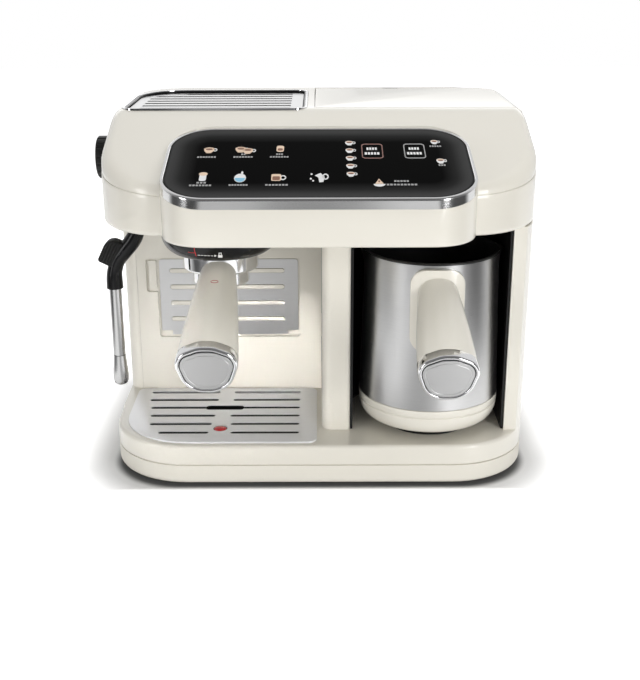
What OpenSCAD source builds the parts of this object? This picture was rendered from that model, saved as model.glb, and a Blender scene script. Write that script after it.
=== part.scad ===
// Countertop coffee machine: an espresso side on the left and an electric
// Turkish coffee pot in its own bay on the right.
// X runs to the right, Y to the back and Z up. Lengths are in millimetres.

/* [Body] */
// Width of the base and head
body_w = 360; // [340:2:400]
// Depth of the base and head, without the control nose
body_d = 280; // [270:2:310]
// Height of the top deck above the table
body_h = 303; // [298:1:320]
// Radius of the front corners seen from above
front_r = 67; // [55:1:72]
// Radius of the rear corners seen from above
rear_r = 55; // [50:1:60]
// Thickness of the moulded walls
wall = 2.5; // [2:0.25:3]

/* [Base] */
// Height of the feet below the base
foot_h = 3; // [2:0.5:6]
// Radius of a foot
foot_r = 9; // [7:0.5:11]
// Height of the lower pan
pan_h = 17.5; // [15:0.5:22]
// Height of the upper base above the pan
deck_h = 17.5; // [15:0.5:22]

/* [Head] */
// Height of the underside of the head
head_z = 219; // [214:1:226]
// Height at which the head's slope would meet its front
brow_z = 258; // [254:1:262]
// Depth of the flat top deck from the rear
top_d = 160; // [156:1:164]
// Radius of the top edges
edge_r = 11; // [8:0.5:13]
// Thickness of the tank lid
lid_t = 5.2; // [4.6:0.2:6]

/* [Control nose] */
// Width of the nose
nose_w = 247; // [238:1:252]
// Reach of the nose in front of the head
nose_reach = 35; // [30:1:40]
// Corner radius of the nose
nose_r = 37; // [32:1:40]
// Depth of the nose from its front to the rear of the display
nose_d = 126; // [120:1:130]
// Height of the display's front edge
panel_z = 257; // [254:1:260]
// Tilt of the display
panel_tilt = 15; // [13:0.5:17]
// Height of the chrome bezel
bezel_h = 7.8; // [6.5:0.1:10]
// Width of the chrome bezel round the glass
bezel_w = 2.6; // [2:0.2:4]

/* [Espresso bay] */
// Group centre, left of the middle
group_x = 83.5; // [81:0.5:86]
// Pot and group centres, in front of the middle
work_y = 79.5; // [77:0.5:81]
// Radius of the black group collar
collar_r = 50; // [46:0.5:52]
// Radius of the filter holder
holder_r = 32; // [31.5:0.1:32.8]
// Depth of the bay's back wall in front of the middle
bay_y = 9; // [8:0.5:11]

/* [Turkish coffee pot] */
// Pot centre, right of the middle
pot_x = 95.5; // [93:0.5:96]
// Radius of the pot at its foot
pot_r = 60.5; // [57:0.5:61]
// Radius of the pot at its rim
rim_r = 56.5; // [54:0.5:58]
// Height of the pot
pot_h = 149.5; // [140:0.5:152]
// Height of the heated seat
seat_h = 8; // [6:0.5:10]

/* [Handles] */
// Width of a handle at its end cap
cap_w = 47.5; // [43:0.5:50]
// Height of a handle at its end cap
cap_h = 37; // [34:0.5:40]
// Length of the chrome end ring
cap_len = 11; // [8:0.5:14]
// Reach of the filter handle from the group centre
filter_reach = 137.5; // [128:0.5:145]
// Reach of the pot handle from the pot centre
pot_reach = 130.5; // [124:0.5:136]

/* [Steam] */
// Radius of the steam tube
tube_r = 5.2; // [4.5:0.1:6]
// Length of the steam tube
tube_len = 68; // [55:1:75]
// Radius of the steam knob
knob_r = 19; // [16:0.5:21]
// Reach of the steam knob from the side
knob_reach = 18; // [14:0.5:22]

/* [Water tank] */
// Width of the tank
tank_w = 150; // [130:1:154]
// Depth of the tank
tank_d = 108; // [90:1:110]
// Height of the tank
tank_h = 126; // [110:1:130]

/* [Drip tray] */
// Width of the grid
tray_w = 166; // [150:1:167]
// Depth of the grid
tray_d = 120; // [110:1:121]
// Depth of the drip bin
bin_h = 21; // [16:0.5:22]

/* [Hidden] */
$fn = 64;

seat_gap = 0.3;                    // gap between pieces that move or lift apart
fit = 0.2;                         // gap between pieces fixed side by side
hw = body_w / 2;
hd = body_d / 2;
seam_z = foot_h + pan_h;           // line between the pan and the upper base
base_z = seam_z + deck_h;          // top of the base
inner_z = head_z + wall;           // top of the head's floor
far = 500;                         // longer than any cut

cap_lean = 11;                     // how far the handles' end caps face down

cream = [0.90, 0.88, 0.82];
black = [0.06, 0.06, 0.06];
steel = [0.78, 0.78, 0.79];
chrome = [0.85, 0.85, 0.87];

group_at = [-group_x, -work_y];
pot_at = [pot_x, -work_y];

// ---------------------------------------------------------------- outlines

// Rectangle with a radius for each corner: front left, front right, rear right, rear left
module rounded(lo, hi, r) {
    polygon([
        [lo.x + r[0], lo.y], [hi.x - r[1], lo.y], [hi.x, lo.y + r[1]], [hi.x, hi.y - r[2]],
        [hi.x - r[2], hi.y], [lo.x + r[3], hi.y], [lo.x, hi.y - r[3]], [lo.x, lo.y + r[0]]
    ]);
    translate([lo.x + r[0], lo.y + r[0]]) circle(r[0]);
    translate([hi.x - r[1], lo.y + r[1]]) circle(r[1]);
    translate([hi.x - r[2], hi.y - r[2]]) circle(r[2]);
    translate([lo.x + r[3], hi.y - r[3]]) circle(r[3]);
}

module even_rounded(lo, hi, r) {
    rounded(lo, hi, [r, r, r, r]);
}

// Outline of the body, set in by i
module body_plan(i = 0) {
    f = front_r - i;
    b = rear_r - i;
    rounded([-hw + i, -hd + i], [hw - i, hd - i], [f, f, b, b]);
}

// Outline of the control nose, set in by i
nose_lo = [-nose_w / 2, -hd - nose_reach];
nose_hi = [nose_w / 2, -hd - nose_reach + nose_d];
module nose_plan(i = 0) {
    even_rounded(nose_lo + [i, i], nose_hi - [i, i], nose_r - i);
}

// Outline of the drip tray, set in by i
tray_hi = [-3.5, -bay_y - 4];
tray_lo = tray_hi - [tray_w, tray_d];
tray_big_r = front_r - 10;
tray_small_r = 7;
module tray_plan(i = 0) {
    s = tray_small_r - i;
    rounded(tray_lo + [i, i], tray_hi - [i, i], [tray_big_r - i, s, s, s]);
}

// Box between two corners
module block(lo, hi) {
    translate(lo) cube(hi - lo);
}

// Extrudes a (y, z) outline along X, centred
module along_x(w) {
    rotate([90, 0, 90]) linear_extrude(w, center = true) children();
}

// Extrudes a (x, z) outline along Y, centred
module along_y(d) {
    rotate([90, 0, 0]) linear_extrude(d, center = true) children();
}

// Cylinder along Z between two heights
module disc(r, z0, z1) {
    translate([0, 0, z0]) cylinder(r = r, h = z1 - z0);
}

module tube(r_out, r_in, z0, z1) {
    difference() {
        disc(r_out, z0, z1);
        disc(r_in, z0 - 1, z1 + 1);
    }
}

// ---------------------------------------------------------------- base

foot_inset = 46;
foot_recess = 2;
module at_feet() {
    for (sx = [-1, 1], sy = [-1, 1])
        translate([sx * (hw - foot_inset), sy * (hd - foot_inset), 0]) children();
}

module feet() {
    color([0.12, 0.12, 0.12]) at_feet() difference() {
        disc(foot_r, 0, foot_h + foot_recess);
        disc(2.2, -1, 1.4);
    }
}

screw_r = 1.6;
boss_r = 4.5;
base_screws = concat(
    [for (sx = [-1, 1], y = [4, hd - 14]) [sx * 100, y]],
    [for (x = [18, 100]) [x, 16 - hd]]
);
module at_base_screws() {
    for (p = base_screws) translate([p.x, p.y, 0]) children();
}

vent_n = 10;                       // air slots in the pan and in the rear cover
module base_pan() {
    color(cream) difference() {
        union() {
            difference() {
                translate([0, 0, foot_h]) linear_extrude(pan_h) body_plan();
                translate([0, 0, foot_h + wall]) linear_extrude(pan_h) body_plan(wall);
            }
            at_feet() disc(foot_r + 3, foot_h, foot_h + foot_recess + wall);
            at_base_screws() disc(boss_r, foot_h, seam_z);
        }
        at_feet() disc(foot_r + seat_gap, foot_h - 1, foot_h + foot_recess);
        at_base_screws() disc(screw_r + 0.3, foot_h - 1, seam_z + 1);
        at_base_screws() disc(3.4, foot_h - 1, foot_h + 4);
        for (k = [0:vent_n - 1])
            translate([-54 + 12 * k, 50, foot_h - 1])
                linear_extrude(wall + 2) even_rounded([-2, -22], [2, 22], 1.9);
    }
}

well_t = 2;
well_z = base_z - bin_h - well_t;  // underside of the well's floor
module base_shell() {
    color(cream) difference() {
        union() {
            difference() {
                translate([0, 0, seam_z]) linear_extrude(deck_h) body_plan();
                translate([0, 0, seam_z - 1]) linear_extrude(deck_h + 1 - wall) body_plan(wall);
            }
            translate([0, 0, well_z]) linear_extrude(base_z - well_z) tray_plan(-wall - seat_gap);
            at_base_screws() disc(boss_r, seam_z, base_z - wall);
        }
        translate([0, 0, well_z + well_t]) linear_extrude(bin_h + 1) tray_plan(-seat_gap);
        at_base_screws() disc(screw_r, seam_z - 1, base_z - wall - 1);
    }
}

// Screws that hold the pan to the base, and the rear cover to the side panels
rear_x = 118;                      // half width of the rear cover
rear_lip = 8;                      // overlap of the side panels behind the rear cover
module rear_screw_places() {
    for (sx = [-1, 1], z = [base_z + 20, (base_z + head_z) / 2, head_z - 20])
        translate([sx * (rear_x - 5), hd, z]) rotate([90, 0, 0]) children();
}

module case_screw(len) {
    disc(3, -2, 0);
    disc(screw_r - 0.15, 0, len);
}

module case_screws() {
    color([0.4, 0.4, 0.42]) {
        at_base_screws() translate([0, 0, foot_h + 4]) case_screw(24);
        rear_screw_places() case_screw(8);
    }
}

// ---------------------------------------------------------------- column

// Outline of the column behind the espresso bay, set in by i
column_r = 12;
module column_plan(i = 0) {
    b = rear_r - i;
    rounded([-hw + i, -bay_y + i], [hw - i, hd - i], [column_r - i, column_r - i, b, b]);
}

column_lip = 12;                   // width of the column's front strip beside the bay panel
module left_side_panel() {
    color(cream) {
        translate([0, 0, base_z]) linear_extrude(head_z - base_z) difference() {
            column_plan();
            column_plan(wall);
            translate([-hw + column_lip, -far]) square([far * 2, far + hd / 2]);
            translate([-rear_x - fit, 0]) square([far * 2, far]);
        }
        rear_flange(-1);
    }
}

// Strip behind the rear cover that takes its screws
module rear_flange(side) {
    x0 = side > 0 ? rear_x - rear_lip : -rear_x - 4;
    difference() {
        block([x0, hd - 2 * wall, base_z], [x0 + rear_lip + 4, hd - wall, head_z]);
        rear_screw_places() disc(screw_r, wall - 1, 2 * wall + 1);
    }
}

pillar_y = 107;                    // front of the pillar and of the right wall, ahead of the middle
wall_x = 160;                      // inner face of the right wall
module right_side_panel() {
    color(cream) {
        translate([0, 0, base_z]) linear_extrude(head_z - base_z) {
            difference() {
                body_plan();
                body_plan(wall);
                translate([-far, -far]) square([far + rear_x + fit, far * 2]);
                translate([-far, -far]) square([far * 2, far - pillar_y]);
            }
            // front edge turned in to the pot bay
            intersection() {
                body_plan();
                translate([wall_x, -pillar_y]) square([far, wall]);
            }
        }
        rear_flange(1);
    }
}

gland_at = [-60, 62];              // x and z of the cable gland
gland_r = 8;
module rear_cover() {
    color(cream) difference() {
        block([-rear_x, hd - wall, base_z], [rear_x, hd, head_z]);
        for (k = [0:vent_n - 1])
            translate([0, hd, head_z - 60 - 7 * k]) along_y(4 * wall)
                even_rounded([-60, -1.5], [60, 1.5], 1.4);
        translate([gland_at.x, hd, gland_at.y]) rotate([90, 0, 0])
            cylinder(r = gland_r, h = 20, center = true);
        rear_screw_places() disc(screw_r + 0.3, -1, wall + 1);
    }
}

cord_hole_r = 3.6;
module cable_gland() {
    color(black) translate([gland_at.x, hd - wall, gland_at.y]) rotate([-90, 0, 0]) difference() {
        union() {
            disc(gland_r - 0.1, -0.1, wall);
            disc(gland_r + 3, wall, wall + 3);
            disc(gland_r + 2, -4, -0.1);
        }
        disc(cord_hole_r, -5, wall + 5);
    }
}

// ---------------------------------------------------------------- espresso bay wall

plate_lo = [-147.5, 92];           // splash plate corners, x and z
plate_hi = [-19.5, 165];
plate_t = 1.2;
slot_n = 4;
slot_pitch = 15.5;
slot_h = 4.4;
slot_lo = -138;
slot_hi = -32;
pillar_left = 2;                   // where the bay panel meets the pillar
bay_x = [-hw + column_lip + fit, pillar_left];
recess_t = 3;
function slot_z(k) = plate_hi.y - 11 - slot_pitch * k;

module bay_slot(k, grow = 0) {
    half = slot_h / 2 + grow;
    even_rounded([slot_lo - grow, slot_z(k) - half], [slot_hi + grow, slot_z(k) + half], half - 0.05);
}

// Recess of the splash plate with its side pocket
module plate_recess() {
    even_rounded([plate_lo.x - 2, plate_lo.y - 2], [plate_hi.x + 2, plate_hi.y + 2], 3);
    even_rounded([plate_lo.x - 12, plate_hi.y - 31], [plate_lo.x + 3, plate_hi.y + 1], 3);
}

module bay_panel() {
    back = -bay_y + recess_t + wall;
    color(cream) {
        difference() {
            block([bay_x[0], -bay_y, base_z], [bay_x[1], back, head_z]);
            translate([0, -bay_y, 0]) along_y(2 * recess_t) plate_recess();
            // hollows in the back, beside the plate
            block([bay_x[0] + 3, -bay_y + wall, base_z - 1], [plate_lo.x - 16, back + 1, head_z + 1]);
            block([plate_hi.x + 5, -bay_y + wall, base_z - 1], [bay_x[1] - 3, back + 1, head_z + 1]);
        }
        // ribs that stand through the plate's slots
        for (k = [0:slot_n - 1])
            translate([0, -bay_y + recess_t / 2 + 0.5, 0]) along_y(recess_t - 1) bay_slot(k, -0.4);
        // raised pad in the side pocket
        block([plate_lo.x - 9.5, -bay_y + 1, plate_hi.y - 27],
              [plate_lo.x - 2.6, -bay_y + recess_t, plate_hi.y - 1]);
    }
}

module splash_plate() {
    color(steel) translate([0, -bay_y + recess_t - plate_t / 2, 0]) difference() {
        along_y(plate_t) even_rounded(plate_lo, plate_hi, 3);
        for (k = [0:slot_n - 1]) along_y(3 * plate_t) bay_slot(k);
        // finger notches
        for (x = [plate_lo.x, plate_hi.x - 9])
            block([x - 1, -5, plate_lo.y - 1], [x + 10, 5, plate_lo.y + 4]);
    }
}

// ---------------------------------------------------------------- pot chamber

pillar_x = [pillar_left + fit, 26.5];
pillar_r = 9;
module pillar_plan(i = 0) {
    rounded([pillar_x[0] + i, -pillar_y + i], [pillar_x[1] - i, -bay_y + 40], [pillar_r - i, 4 - i, 1, 1]);
}

module pillar_trim() {
    color(cream) translate([0, 0, base_z]) linear_extrude(head_z - base_z) difference() {
        pillar_plan();
        pillar_plan(wall);
        translate([-far, -bay_y + recess_t + wall]) square(2 * far);
    }
}

liner_t = 2;
liner_x = [pillar_x[1] + fit, wall_x - fit];
liner_y = [-pillar_y + wall + fit, -bay_y - 1];
liner_corner = 38;
module liner_plan(i = 0) {
    c = liner_corner - i;
    rounded([liner_x[0] + i, liner_y[0] - 60], [liner_x[1] - i, liner_y[1] - i], [1, 1, c, c]);
}

module chamber_liner() {
    color(black) translate([0, 0, base_z]) linear_extrude(head_z - base_z) difference() {
        liner_plan();
        liner_plan(liner_t);
        translate([-far, -far]) square([2 * far, far + liner_y[0]]);
    }
}

seat_r = 38;                       // heated seat with two rings that meet the pot's contacts
module pot_seat() {
    top = base_z + seat_h;
    color(black) translate(pot_at) difference() {
        disc(seat_r, base_z, top);
        for (r = [14, 26]) tube(r + 4, r, top - 1, top + 1);
    }
}

// ---------------------------------------------------------------- head

top_y = hd - top_d;                // front of the flat deck
slope = atan2(body_h - brow_z, hd + top_y);
blend_r = 60;                      // blend between the deck and the slope
profile_n = 8;
// Side outline of the head's top, set down by i: front edge, slope, blend and deck
function head_top(i) =
    let (b = blend_r - i, y0 = top_y + blend_r * tan(slope / 2), z0 = body_h - blend_r,
         foot = [y0 - b * sin(slope), z0 + b * cos(slope)],
         e = edge_r - i, yc = edge_r - hd, zc = foot.y + (yc - foot.x) * tan(slope) - e / cos(slope))
    concat(
        [[-far, zc]],
        [for (k = [0:profile_n]) let (a = 180 - (90 - slope) * k / profile_n)
            [yc + e * cos(a), zc + e * sin(a)]],
        [for (k = [profile_n:-1:0]) let (a = slope * k / profile_n) [y0 - b * sin(a), z0 + b * cos(a)]],
        [[far, body_h - i]]
    );

// Solid form of the head, set in by i
module head_form(i = 0) {
    intersection() {
        translate([0, 0, head_z - 1]) linear_extrude(body_h) body_plan(i);
        along_x(2 * far) polygon(concat(head_top(i), [[far, 0], [-far, 0]]));
        // rounded side edges of the deck and of the slope
        along_y(2 * far) even_rounded([-hw + i, 0], [hw - i, body_h - i], edge_r - i);
        translate([0, top_y, body_h]) rotate([slope, 0, 0]) translate([0, 0, -i])
            along_y(2 * far) even_rounded([-hw + i, -body_h], [hw - i, 0], edge_r - i);
    }
}

lid_x0 = -3;                       // left edge of the tank lid
lid_y = [top_y + 7.5, hd - 8];     // front and rear edges of the tank lid
lid_z = body_h - lid_t;            // underside of the tank lid
ledge = 3;                         // thickness of the floor under the lid
hinge_r = lid_t / 2 - 0.05;
hinge_at = [lid_y[1] - hinge_r, lid_z + hinge_r];   // y and z of the lid's hinge axis
ear_x = [64, 78];                  // the tank's hinge ear
grille_lo = [-hw + 8, top_y - 1];
grille_hi = [-10, hd - 26];
tank_x = [pot_x - 6.5 - tank_w / 2, pot_x - 6.5 + tank_w / 2];
tank_y = [14, 14 + tank_d];
tank_r = 12;
tank_z = body_h - 10 - tank_h;

// Outline of the cup warmer, set in by i
module grille_plan(i = 0) {
    rounded(grille_lo + [i, i], grille_hi - [i, i], [12 - i, 12 - i, 12 - i, rear_r - 10 - i]);
}

// Room that the tank needs to lift out
module tank_hole() {
    g = 1.5;
    even_rounded([tank_x[0] - g, tank_y[0] - g], [tank_x[1] + g, tank_y[1] + g], tank_r + g);
    translate([ear_x[0] - 0.5, tank_y[1] - 1])
        square([ear_x[1] - ear_x[0] + 1, lid_y[1] + 0.4 - tank_y[1] + 1]);
}

knob_at = [5, (head_z + body_h) / 2 - 4];   // y and z of the steam knob
module head_shell() {
    lid_floor = lid_z - seat_gap - ledge;
    color(cream) difference() {
        head_form();
        difference() {
            head_form(wall);
            block([lid_x0 - ledge, lid_y[0] - ledge, lid_floor], [far, lid_y[1] + ledge, far]);
        }
        block([-far, -far, 0], [far, far, head_z]);
        block([lid_x0 - seat_gap, lid_y[0] - seat_gap, lid_z - seat_gap], [far, lid_y[1] + seat_gap, far]);
        linear_extrude(far) tank_hole();
        linear_extrude(far) nose_plan(-fit);
        translate([0, 0, body_h - 40]) linear_extrude(far) grille_plan(-fit);
        translate([-hw, knob_at[0], knob_at[1]]) rotate([0, 90, 0])
            cylinder(r = shaft_r + 1.5, h = 20, center = true);
    }
}

module head_floor() {
    color(cream) translate([0, 0, head_z]) linear_extrude(wall) difference() {
        union() {
            body_plan(wall + fit);
            nose_plan(wall + fit);
        }
        translate(group_at) circle(neck_r + 1);
        translate([-hw + 40, 12]) square([hw - 40, 100]);
        tank_hole();
        translate(wand_at) circle(ball_seat_r);
    }
}

// Everything below the display's tilted plane, lowered by drop
module under_panel(drop = 0) {
    translate([0, nose_lo.y, panel_z]) rotate([panel_tilt, 0, 0])
        block([-far, -far, -far - drop], [far, far, -drop]);
}

module nose_shell() {
    color(cream) intersection() {
        difference() {
            translate([0, 0, head_z]) linear_extrude(far) difference() {
                nose_plan();
                nose_plan(wall);
            }
            block([-far, -hd - fit, 0], [far, far, inner_z + fit]);
            // behind the head's front the walls stop just under the head's skin
            intersection() {
                head_form(wall + 4);
                block([-far, -hd + wall + 4, 0], [far, far, far]);
            }
        }
        under_panel(bezel_h);
    }
}

module display_bezel() {
    color(chrome) difference() {
        intersection() {
            translate([0, 0, head_z]) linear_extrude(far) nose_plan();
            under_panel();
        }
        // seat of the glass
        difference() {
            linear_extrude(far) nose_plan(bezel_w);
            under_panel(glass_drop + glass_t);
        }
        linear_extrude(far) nose_plan(bezel_w + 3);
        under_panel(bezel_h);
    }
}

glass_t = 3;
glass_drop = 0.4;
module display_glass() {
    color(black) difference() {
        intersection() {
            translate([0, 0, head_z]) linear_extrude(far) nose_plan(bezel_w + fit);
            under_panel(glass_drop);
        }
        under_panel(glass_drop + glass_t);
    }
}

module touch_board() {
    color([0.1, 0.35, 0.2]) difference() {
        intersection() {
            translate([0, 0, head_z]) linear_extrude(far) nose_plan(bezel_w + 3 + fit);
            under_panel(glass_drop + glass_t);
        }
        under_panel(glass_drop + glass_t + 1.6);
    }
}

// ---------------------------------------------------------------- cup warmer

grille_drop = 2.5;                 // depth of the grille below the deck
grille_depth = 8;                  // depth of the pan below the deck
grille_rim = 4;                    // width of the pan's chrome rim
module grille_pan() {
    color(chrome) difference() {
        translate([0, 0, body_h - grille_depth - 1.5]) linear_extrude(grille_depth + 1.5 + 0.6) grille_plan();
        translate([0, 0, body_h - grille_depth]) linear_extrude(far) grille_plan(grille_rim);
    }
}

warm_slot_n = 6;
warm_slot_w = 6;
warm_pitch = 19;

module cup_grille() {
    t = 1.5;
    z = body_h - grille_drop - t;
    color(steel) {
        difference() {
            translate([0, 0, z]) linear_extrude(t) grille_plan(grille_rim + fit);
            translate([0, 0, z - 1]) linear_extrude(t + 2) intersection() {
                grille_plan(grille_rim + 6.5);
                for (k = [0:warm_slot_n - 1])
                    translate([grille_lo.x, grille_lo.y + 12 + warm_pitch * k]) square([far, warm_slot_w]);
            }
        }
        // legs that stand on the pan's floor
        for (x = [-60, -120], y = [grille_lo.y + 8, grille_lo.y + 9 + 5 * warm_pitch])
            translate([x, y, 0]) disc(2.5, body_h - grille_depth, z);
    }
}

// ---------------------------------------------------------------- group

collar_z = head_z - 25;            // lower edge of the collar
neck_r = 39;
ear_r = 36;
ear_z = [collar_z + 5.5, collar_z + 10];
ear_half = 10;                     // half angle of a bayonet ear
notch_half = 13;                   // half angle of the notch that an ear enters by
lock_turn = 42;                    // turn from locked to released
holder_top = collar_z + 12;        // rim of the filter holder
neck_z = holder_top + 3;           // underside of the group head
block_z = head_z + 14;             // underside of the thermoblock
module group_collar() {
    groove = [ear_z[0] - seat_gap, ear_z[1] + seat_gap];
    groove_r = ear_r + seat_gap;
    color(black) translate(group_at) difference() {
        rotate_extrude() polygon([
            [holder_r + seat_gap, collar_z], [collar_r - 9, collar_z], [collar_r - 4, collar_z + 3],
            [collar_r, collar_z + 10],
            [collar_r, head_z], [holder_r + seat_gap, head_z]
        ]);
        disc(groove_r, groove[0], groove[1]);
        // entry notches for the ears, where the handle points to the left
        for (a = [0, 180]) rotate(a - lock_turn - notch_half) rotate_extrude(angle = 2 * notch_half)
            translate([holder_r - 2, collar_z - 1])
                square([groove_r + 0.5 - holder_r + 2, ear_z[1] - collar_z + 1]);
        disc(neck_r, neck_z, head_z + 1);
    }
}

module group_head() {
    color([0.75, 0.72, 0.62]) translate(group_at) difference() {
        disc(neck_r - fit, neck_z, block_z);
        disc(2, neck_z - 1, block_z + 1);
    }
}

module group_gasket() {
    color([0.15, 0.15, 0.15]) translate(group_at) tube(30.8, 26.2, holder_top + 1.2, neck_z);
}

module shower_screen() {
    color(steel) translate(group_at) difference() {
        union() {
            disc(24.5, holder_top - 0.5, holder_top + 1);
            disc(6, holder_top + 1, neck_z);
        }
        for (ring = [[6, 9], [12, 15], [18, 20.5]], k = [0:ring[0] - 1])
            rotate(360 * k / ring[0]) translate([ring[1], 0, 0]) disc(0.9, holder_top - 1, holder_top + 2);
    }
}

block_lo = [-150, -104, block_z];
block_hi = [-36, -50, block_z + 22];
port_at = [-60, block_z + 11];     // y and z of the thermoblock's ports
module thermoblock() {
    color([0.7, 0.7, 0.72]) difference() {
        union() {
            block(block_lo, block_hi);
            for (k = [0:5]) translate([block_lo.x + 6 + 19 * k, 0, 0])
                block([0, block_hi.y, block_lo.z + 3], [8, block_hi.y + 6, block_hi.z - 3]);
        }
        for (x = [block_lo.x - 1, block_hi.x - 15])
            translate([x, port_at[0], port_at[1]]) rotate([0, 90, 0]) cylinder(r = 1.5, h = 16);
    }
}

// ---------------------------------------------------------------- filter holder

holder_z = collar_z - 15.5;        // step between the ring and the lower cup
cup_z = holder_z - 13;             // bottom of the lower cup
cup_r = 24;
module filter_holder() {
    color(chrome) translate(group_at) difference() {
        union() {
            disc(holder_r, holder_z, holder_top);
            disc(cup_r, cup_z, holder_z);
            // bayonet ears
            for (a = [0, 180]) rotate(a - ear_half) rotate_extrude(angle = 2 * ear_half)
                translate([holder_r - 2, ear_z[0]]) square([ear_r - holder_r + 2, ear_z[1] - ear_z[0]]);
        }
        disc(28.2, holder_z + 2, holder_top + 1);
        disc(cup_r - 3, cup_z + 2.5, holder_top);
        disc(4, cup_z - 1, cup_z + 4);
    }
}

module filter_basket() {
    z0 = holder_z + 2.5;
    color(steel) translate(group_at) difference() {
        union() {
            disc(27.6, z0, holder_top + 1);
            disc(30.4, holder_top, holder_top + 1);
        }
        disc(26.4, z0 + 1.2, holder_top + 2);
        for (ring = [[1, 0], [6, 6], [12, 12], [18, 18]], k = [0:ring[0] - 1])
            rotate(360 * k / ring[0]) translate([ring[1], 0, 0]) disc(0.7, z0 - 1, z0 + 2);
    }
}

spout_x = 7;                       // half the distance between the two spouts
spout_z = cup_z - 11;
module filter_spout() {
    color(chrome) translate(group_at) difference() {
        union() {
            disc(6.5, cup_z - 6, cup_z);
            block([-spout_x, -4, cup_z - 7], [spout_x, 4, cup_z - 2]);
            for (s = [-1, 1]) translate([s * spout_x, 0, 0]) disc(4, spout_z, cup_z - 2);
        }
        disc(4, cup_z - 4.5, cup_z + 1);
        for (s = [-1, 1]) translate([s * spout_x, 0, 0]) disc(2.6, spout_z - 1, cup_z - 4);
    }
}

// ---------------------------------------------------------------- handles

// Outline of a handle's end, set in by i: wide on top and rounder below
module pick(i = 0) {
    top_r = 13;
    foot_radius = 20;
    hull() {
        for (s = [-1, 1]) {
            translate([s * (cap_w / 2 - top_r), cap_h * 0.46 - top_r]) circle(top_r - i, $fn = 32);
            translate([s * 2, foot_radius - cap_h * 0.54]) circle(foot_radius - i, $fn = 32);
        }
    }
}

// Frame at a handle's end, where Z points out of the cap
module at_cap(tip) {
    translate(tip) rotate([90 + cap_lean, 0, 0]) children();
}

disc_inset = 3.2;                  // width of the end ring's lip
module cap_ring(tip) {
    color(chrome) at_cap(tip) difference() {
        translate([0, 0, -cap_len]) linear_extrude(cap_len) pick();
        translate([0, 0, -2.5]) linear_extrude(5) pick(disc_inset);
    }
}

module cap_disc(tip) {
    color(steel) at_cap(tip) translate([0, 0, -2.5]) linear_extrude(1.7) pick(disc_inset + 0.3);
}

// Grip from a root section, given by width, height and corner radius, to the back of the end ring
module grip(tip, root, root_w, root_h, root_r) {
    hull() {
        at_cap(tip) translate([0, 0, -cap_len - 2]) linear_extrude(2) pick();
        translate(root) rotate([90, 0, 0]) linear_extrude(3)
            for (sx = [-1, 1], sz = [-1, 1])
                translate([sx * (root_w / 2 - root_r), sz * (root_h / 2 - root_r)]) circle(root_r, $fn = 32);
    }
}

filter_tip = [-group_x - 1, -work_y - filter_reach, collar_z - 58.5];
neck_depth = 5;                    // how far a grip's root runs in behind its seat's front
filter_root_h = 15;
module filter_handle() {
    root = [-group_x, -work_y - holder_r + neck_depth, collar_z - 3 - filter_root_h / 2];
    color(cream) difference() {
        grip(filter_tip, root, 29, filter_root_h, 7);
        translate(group_at) disc(holder_r + 0.1, 0, body_h);
    }
}

// ---------------------------------------------------------------- pot

pot_z = base_z + seat_h + seat_gap;
band_z = pot_z + 16;               // groove round the pot's base
steel_z = pot_z + 23;              // lower edge of the steel wall
rim_z = pot_z + pot_h;
shell_t = 1;
lip_r = 9;                         // pouring lips on both sides
lip_tilt = 24;
function pot_radius(z) = pot_r + (rim_r - pot_r) * (z - steel_z) / (rim_z - steel_z);

// Cone of the pot's wall, grown by g
module pot_cone(g) {
    translate(pot_at) rotate_extrude()
        polygon([[0, 0], [pot_radius(0) + g, 0], [pot_radius(body_h) + g, body_h], [0, body_h]]);
}

// Slanted cylinders of the two pouring lips, from inside the wall to above the rim
module lips(r) {
    translate(pot_at) for (a = [0, 180]) rotate(a)
        translate([rim_r - lip_r + 2.5, 0, rim_z]) rotate([0, lip_tilt, 0]) disc(r, -16, 10);
}

module pot_shell() {
    color(steel) difference() {
        translate(pot_at) rotate_extrude() polygon([
            [pot_r, steel_z], [rim_r, rim_z - 2], [rim_r - shell_t, rim_z - 2], [pot_r - shell_t, steel_z]
        ]);
        intersection() {
            lips(lip_r + 0.1);
            block([-far, -far, rim_z - 20], [far, far, far]);
        }
    }
}

// Black-coated inner pot with a rolled rim
module pot_liner() {
    i = shell_t + 0.1;
    t = 1.5;
    color(black) difference() {
        union() {
            translate(pot_at) rotate_extrude() polygon([
                [0, steel_z + 0.1], [pot_r - i, steel_z + 0.1],
                [rim_r - i, rim_z - 2], [rim_r - i, rim_z - 1.9],
                [rim_r + 0.6, rim_z - 1.9], [rim_r + 0.6, rim_z], [rim_r - i - t, rim_z],
                [pot_r - i - t, steel_z + 8], [pot_r - 9, steel_z + 2.5], [0, steel_z + 2.5]
            ]);
            difference() {
                lips(lip_r);
                pot_cone(-i - t);
                block([-far, -far, rim_z], [far, far, far]);
            }
        }
        lips(lip_r - t);
    }
}

module pot_base() {
    h = band_z - pot_z;
    color(cream) translate(pot_at) difference() {
        rotate_extrude() polygon(concat(
            [[0, pot_z], [pot_r - 11, pot_z]],
            [for (a = [15:15:75]) [pot_r - 11 + 11 * sin(a), pot_z + h - h * cos(a)]],
            [[pot_r, band_z - 0.6], [pot_r - 0.7, band_z], [pot_r + 0.3, band_z + 0.6],
             [pot_r + 0.3, steel_z - 0.1], [0, steel_z - 0.1]]
        ));
        // room for the heating element
        tube(pot_r - 8, 8, pot_z + 4, steel_z + 1);
    }
}

bracket_w = 44;
bracket_t = 4.5;
bracket_z = [pot_z + 76, rim_z - 4.5];
module pot_bracket() {
    color(cream) intersection() {
        translate([pot_x, -work_y - pot_r - 10, 0]) along_y(60)
            even_rounded([-bracket_w / 2, bracket_z[0]], [bracket_w / 2, bracket_z[1]], 13);
        difference() {
            pot_cone(bracket_t);
            pot_cone(0.1);
        }
    }
}

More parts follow.
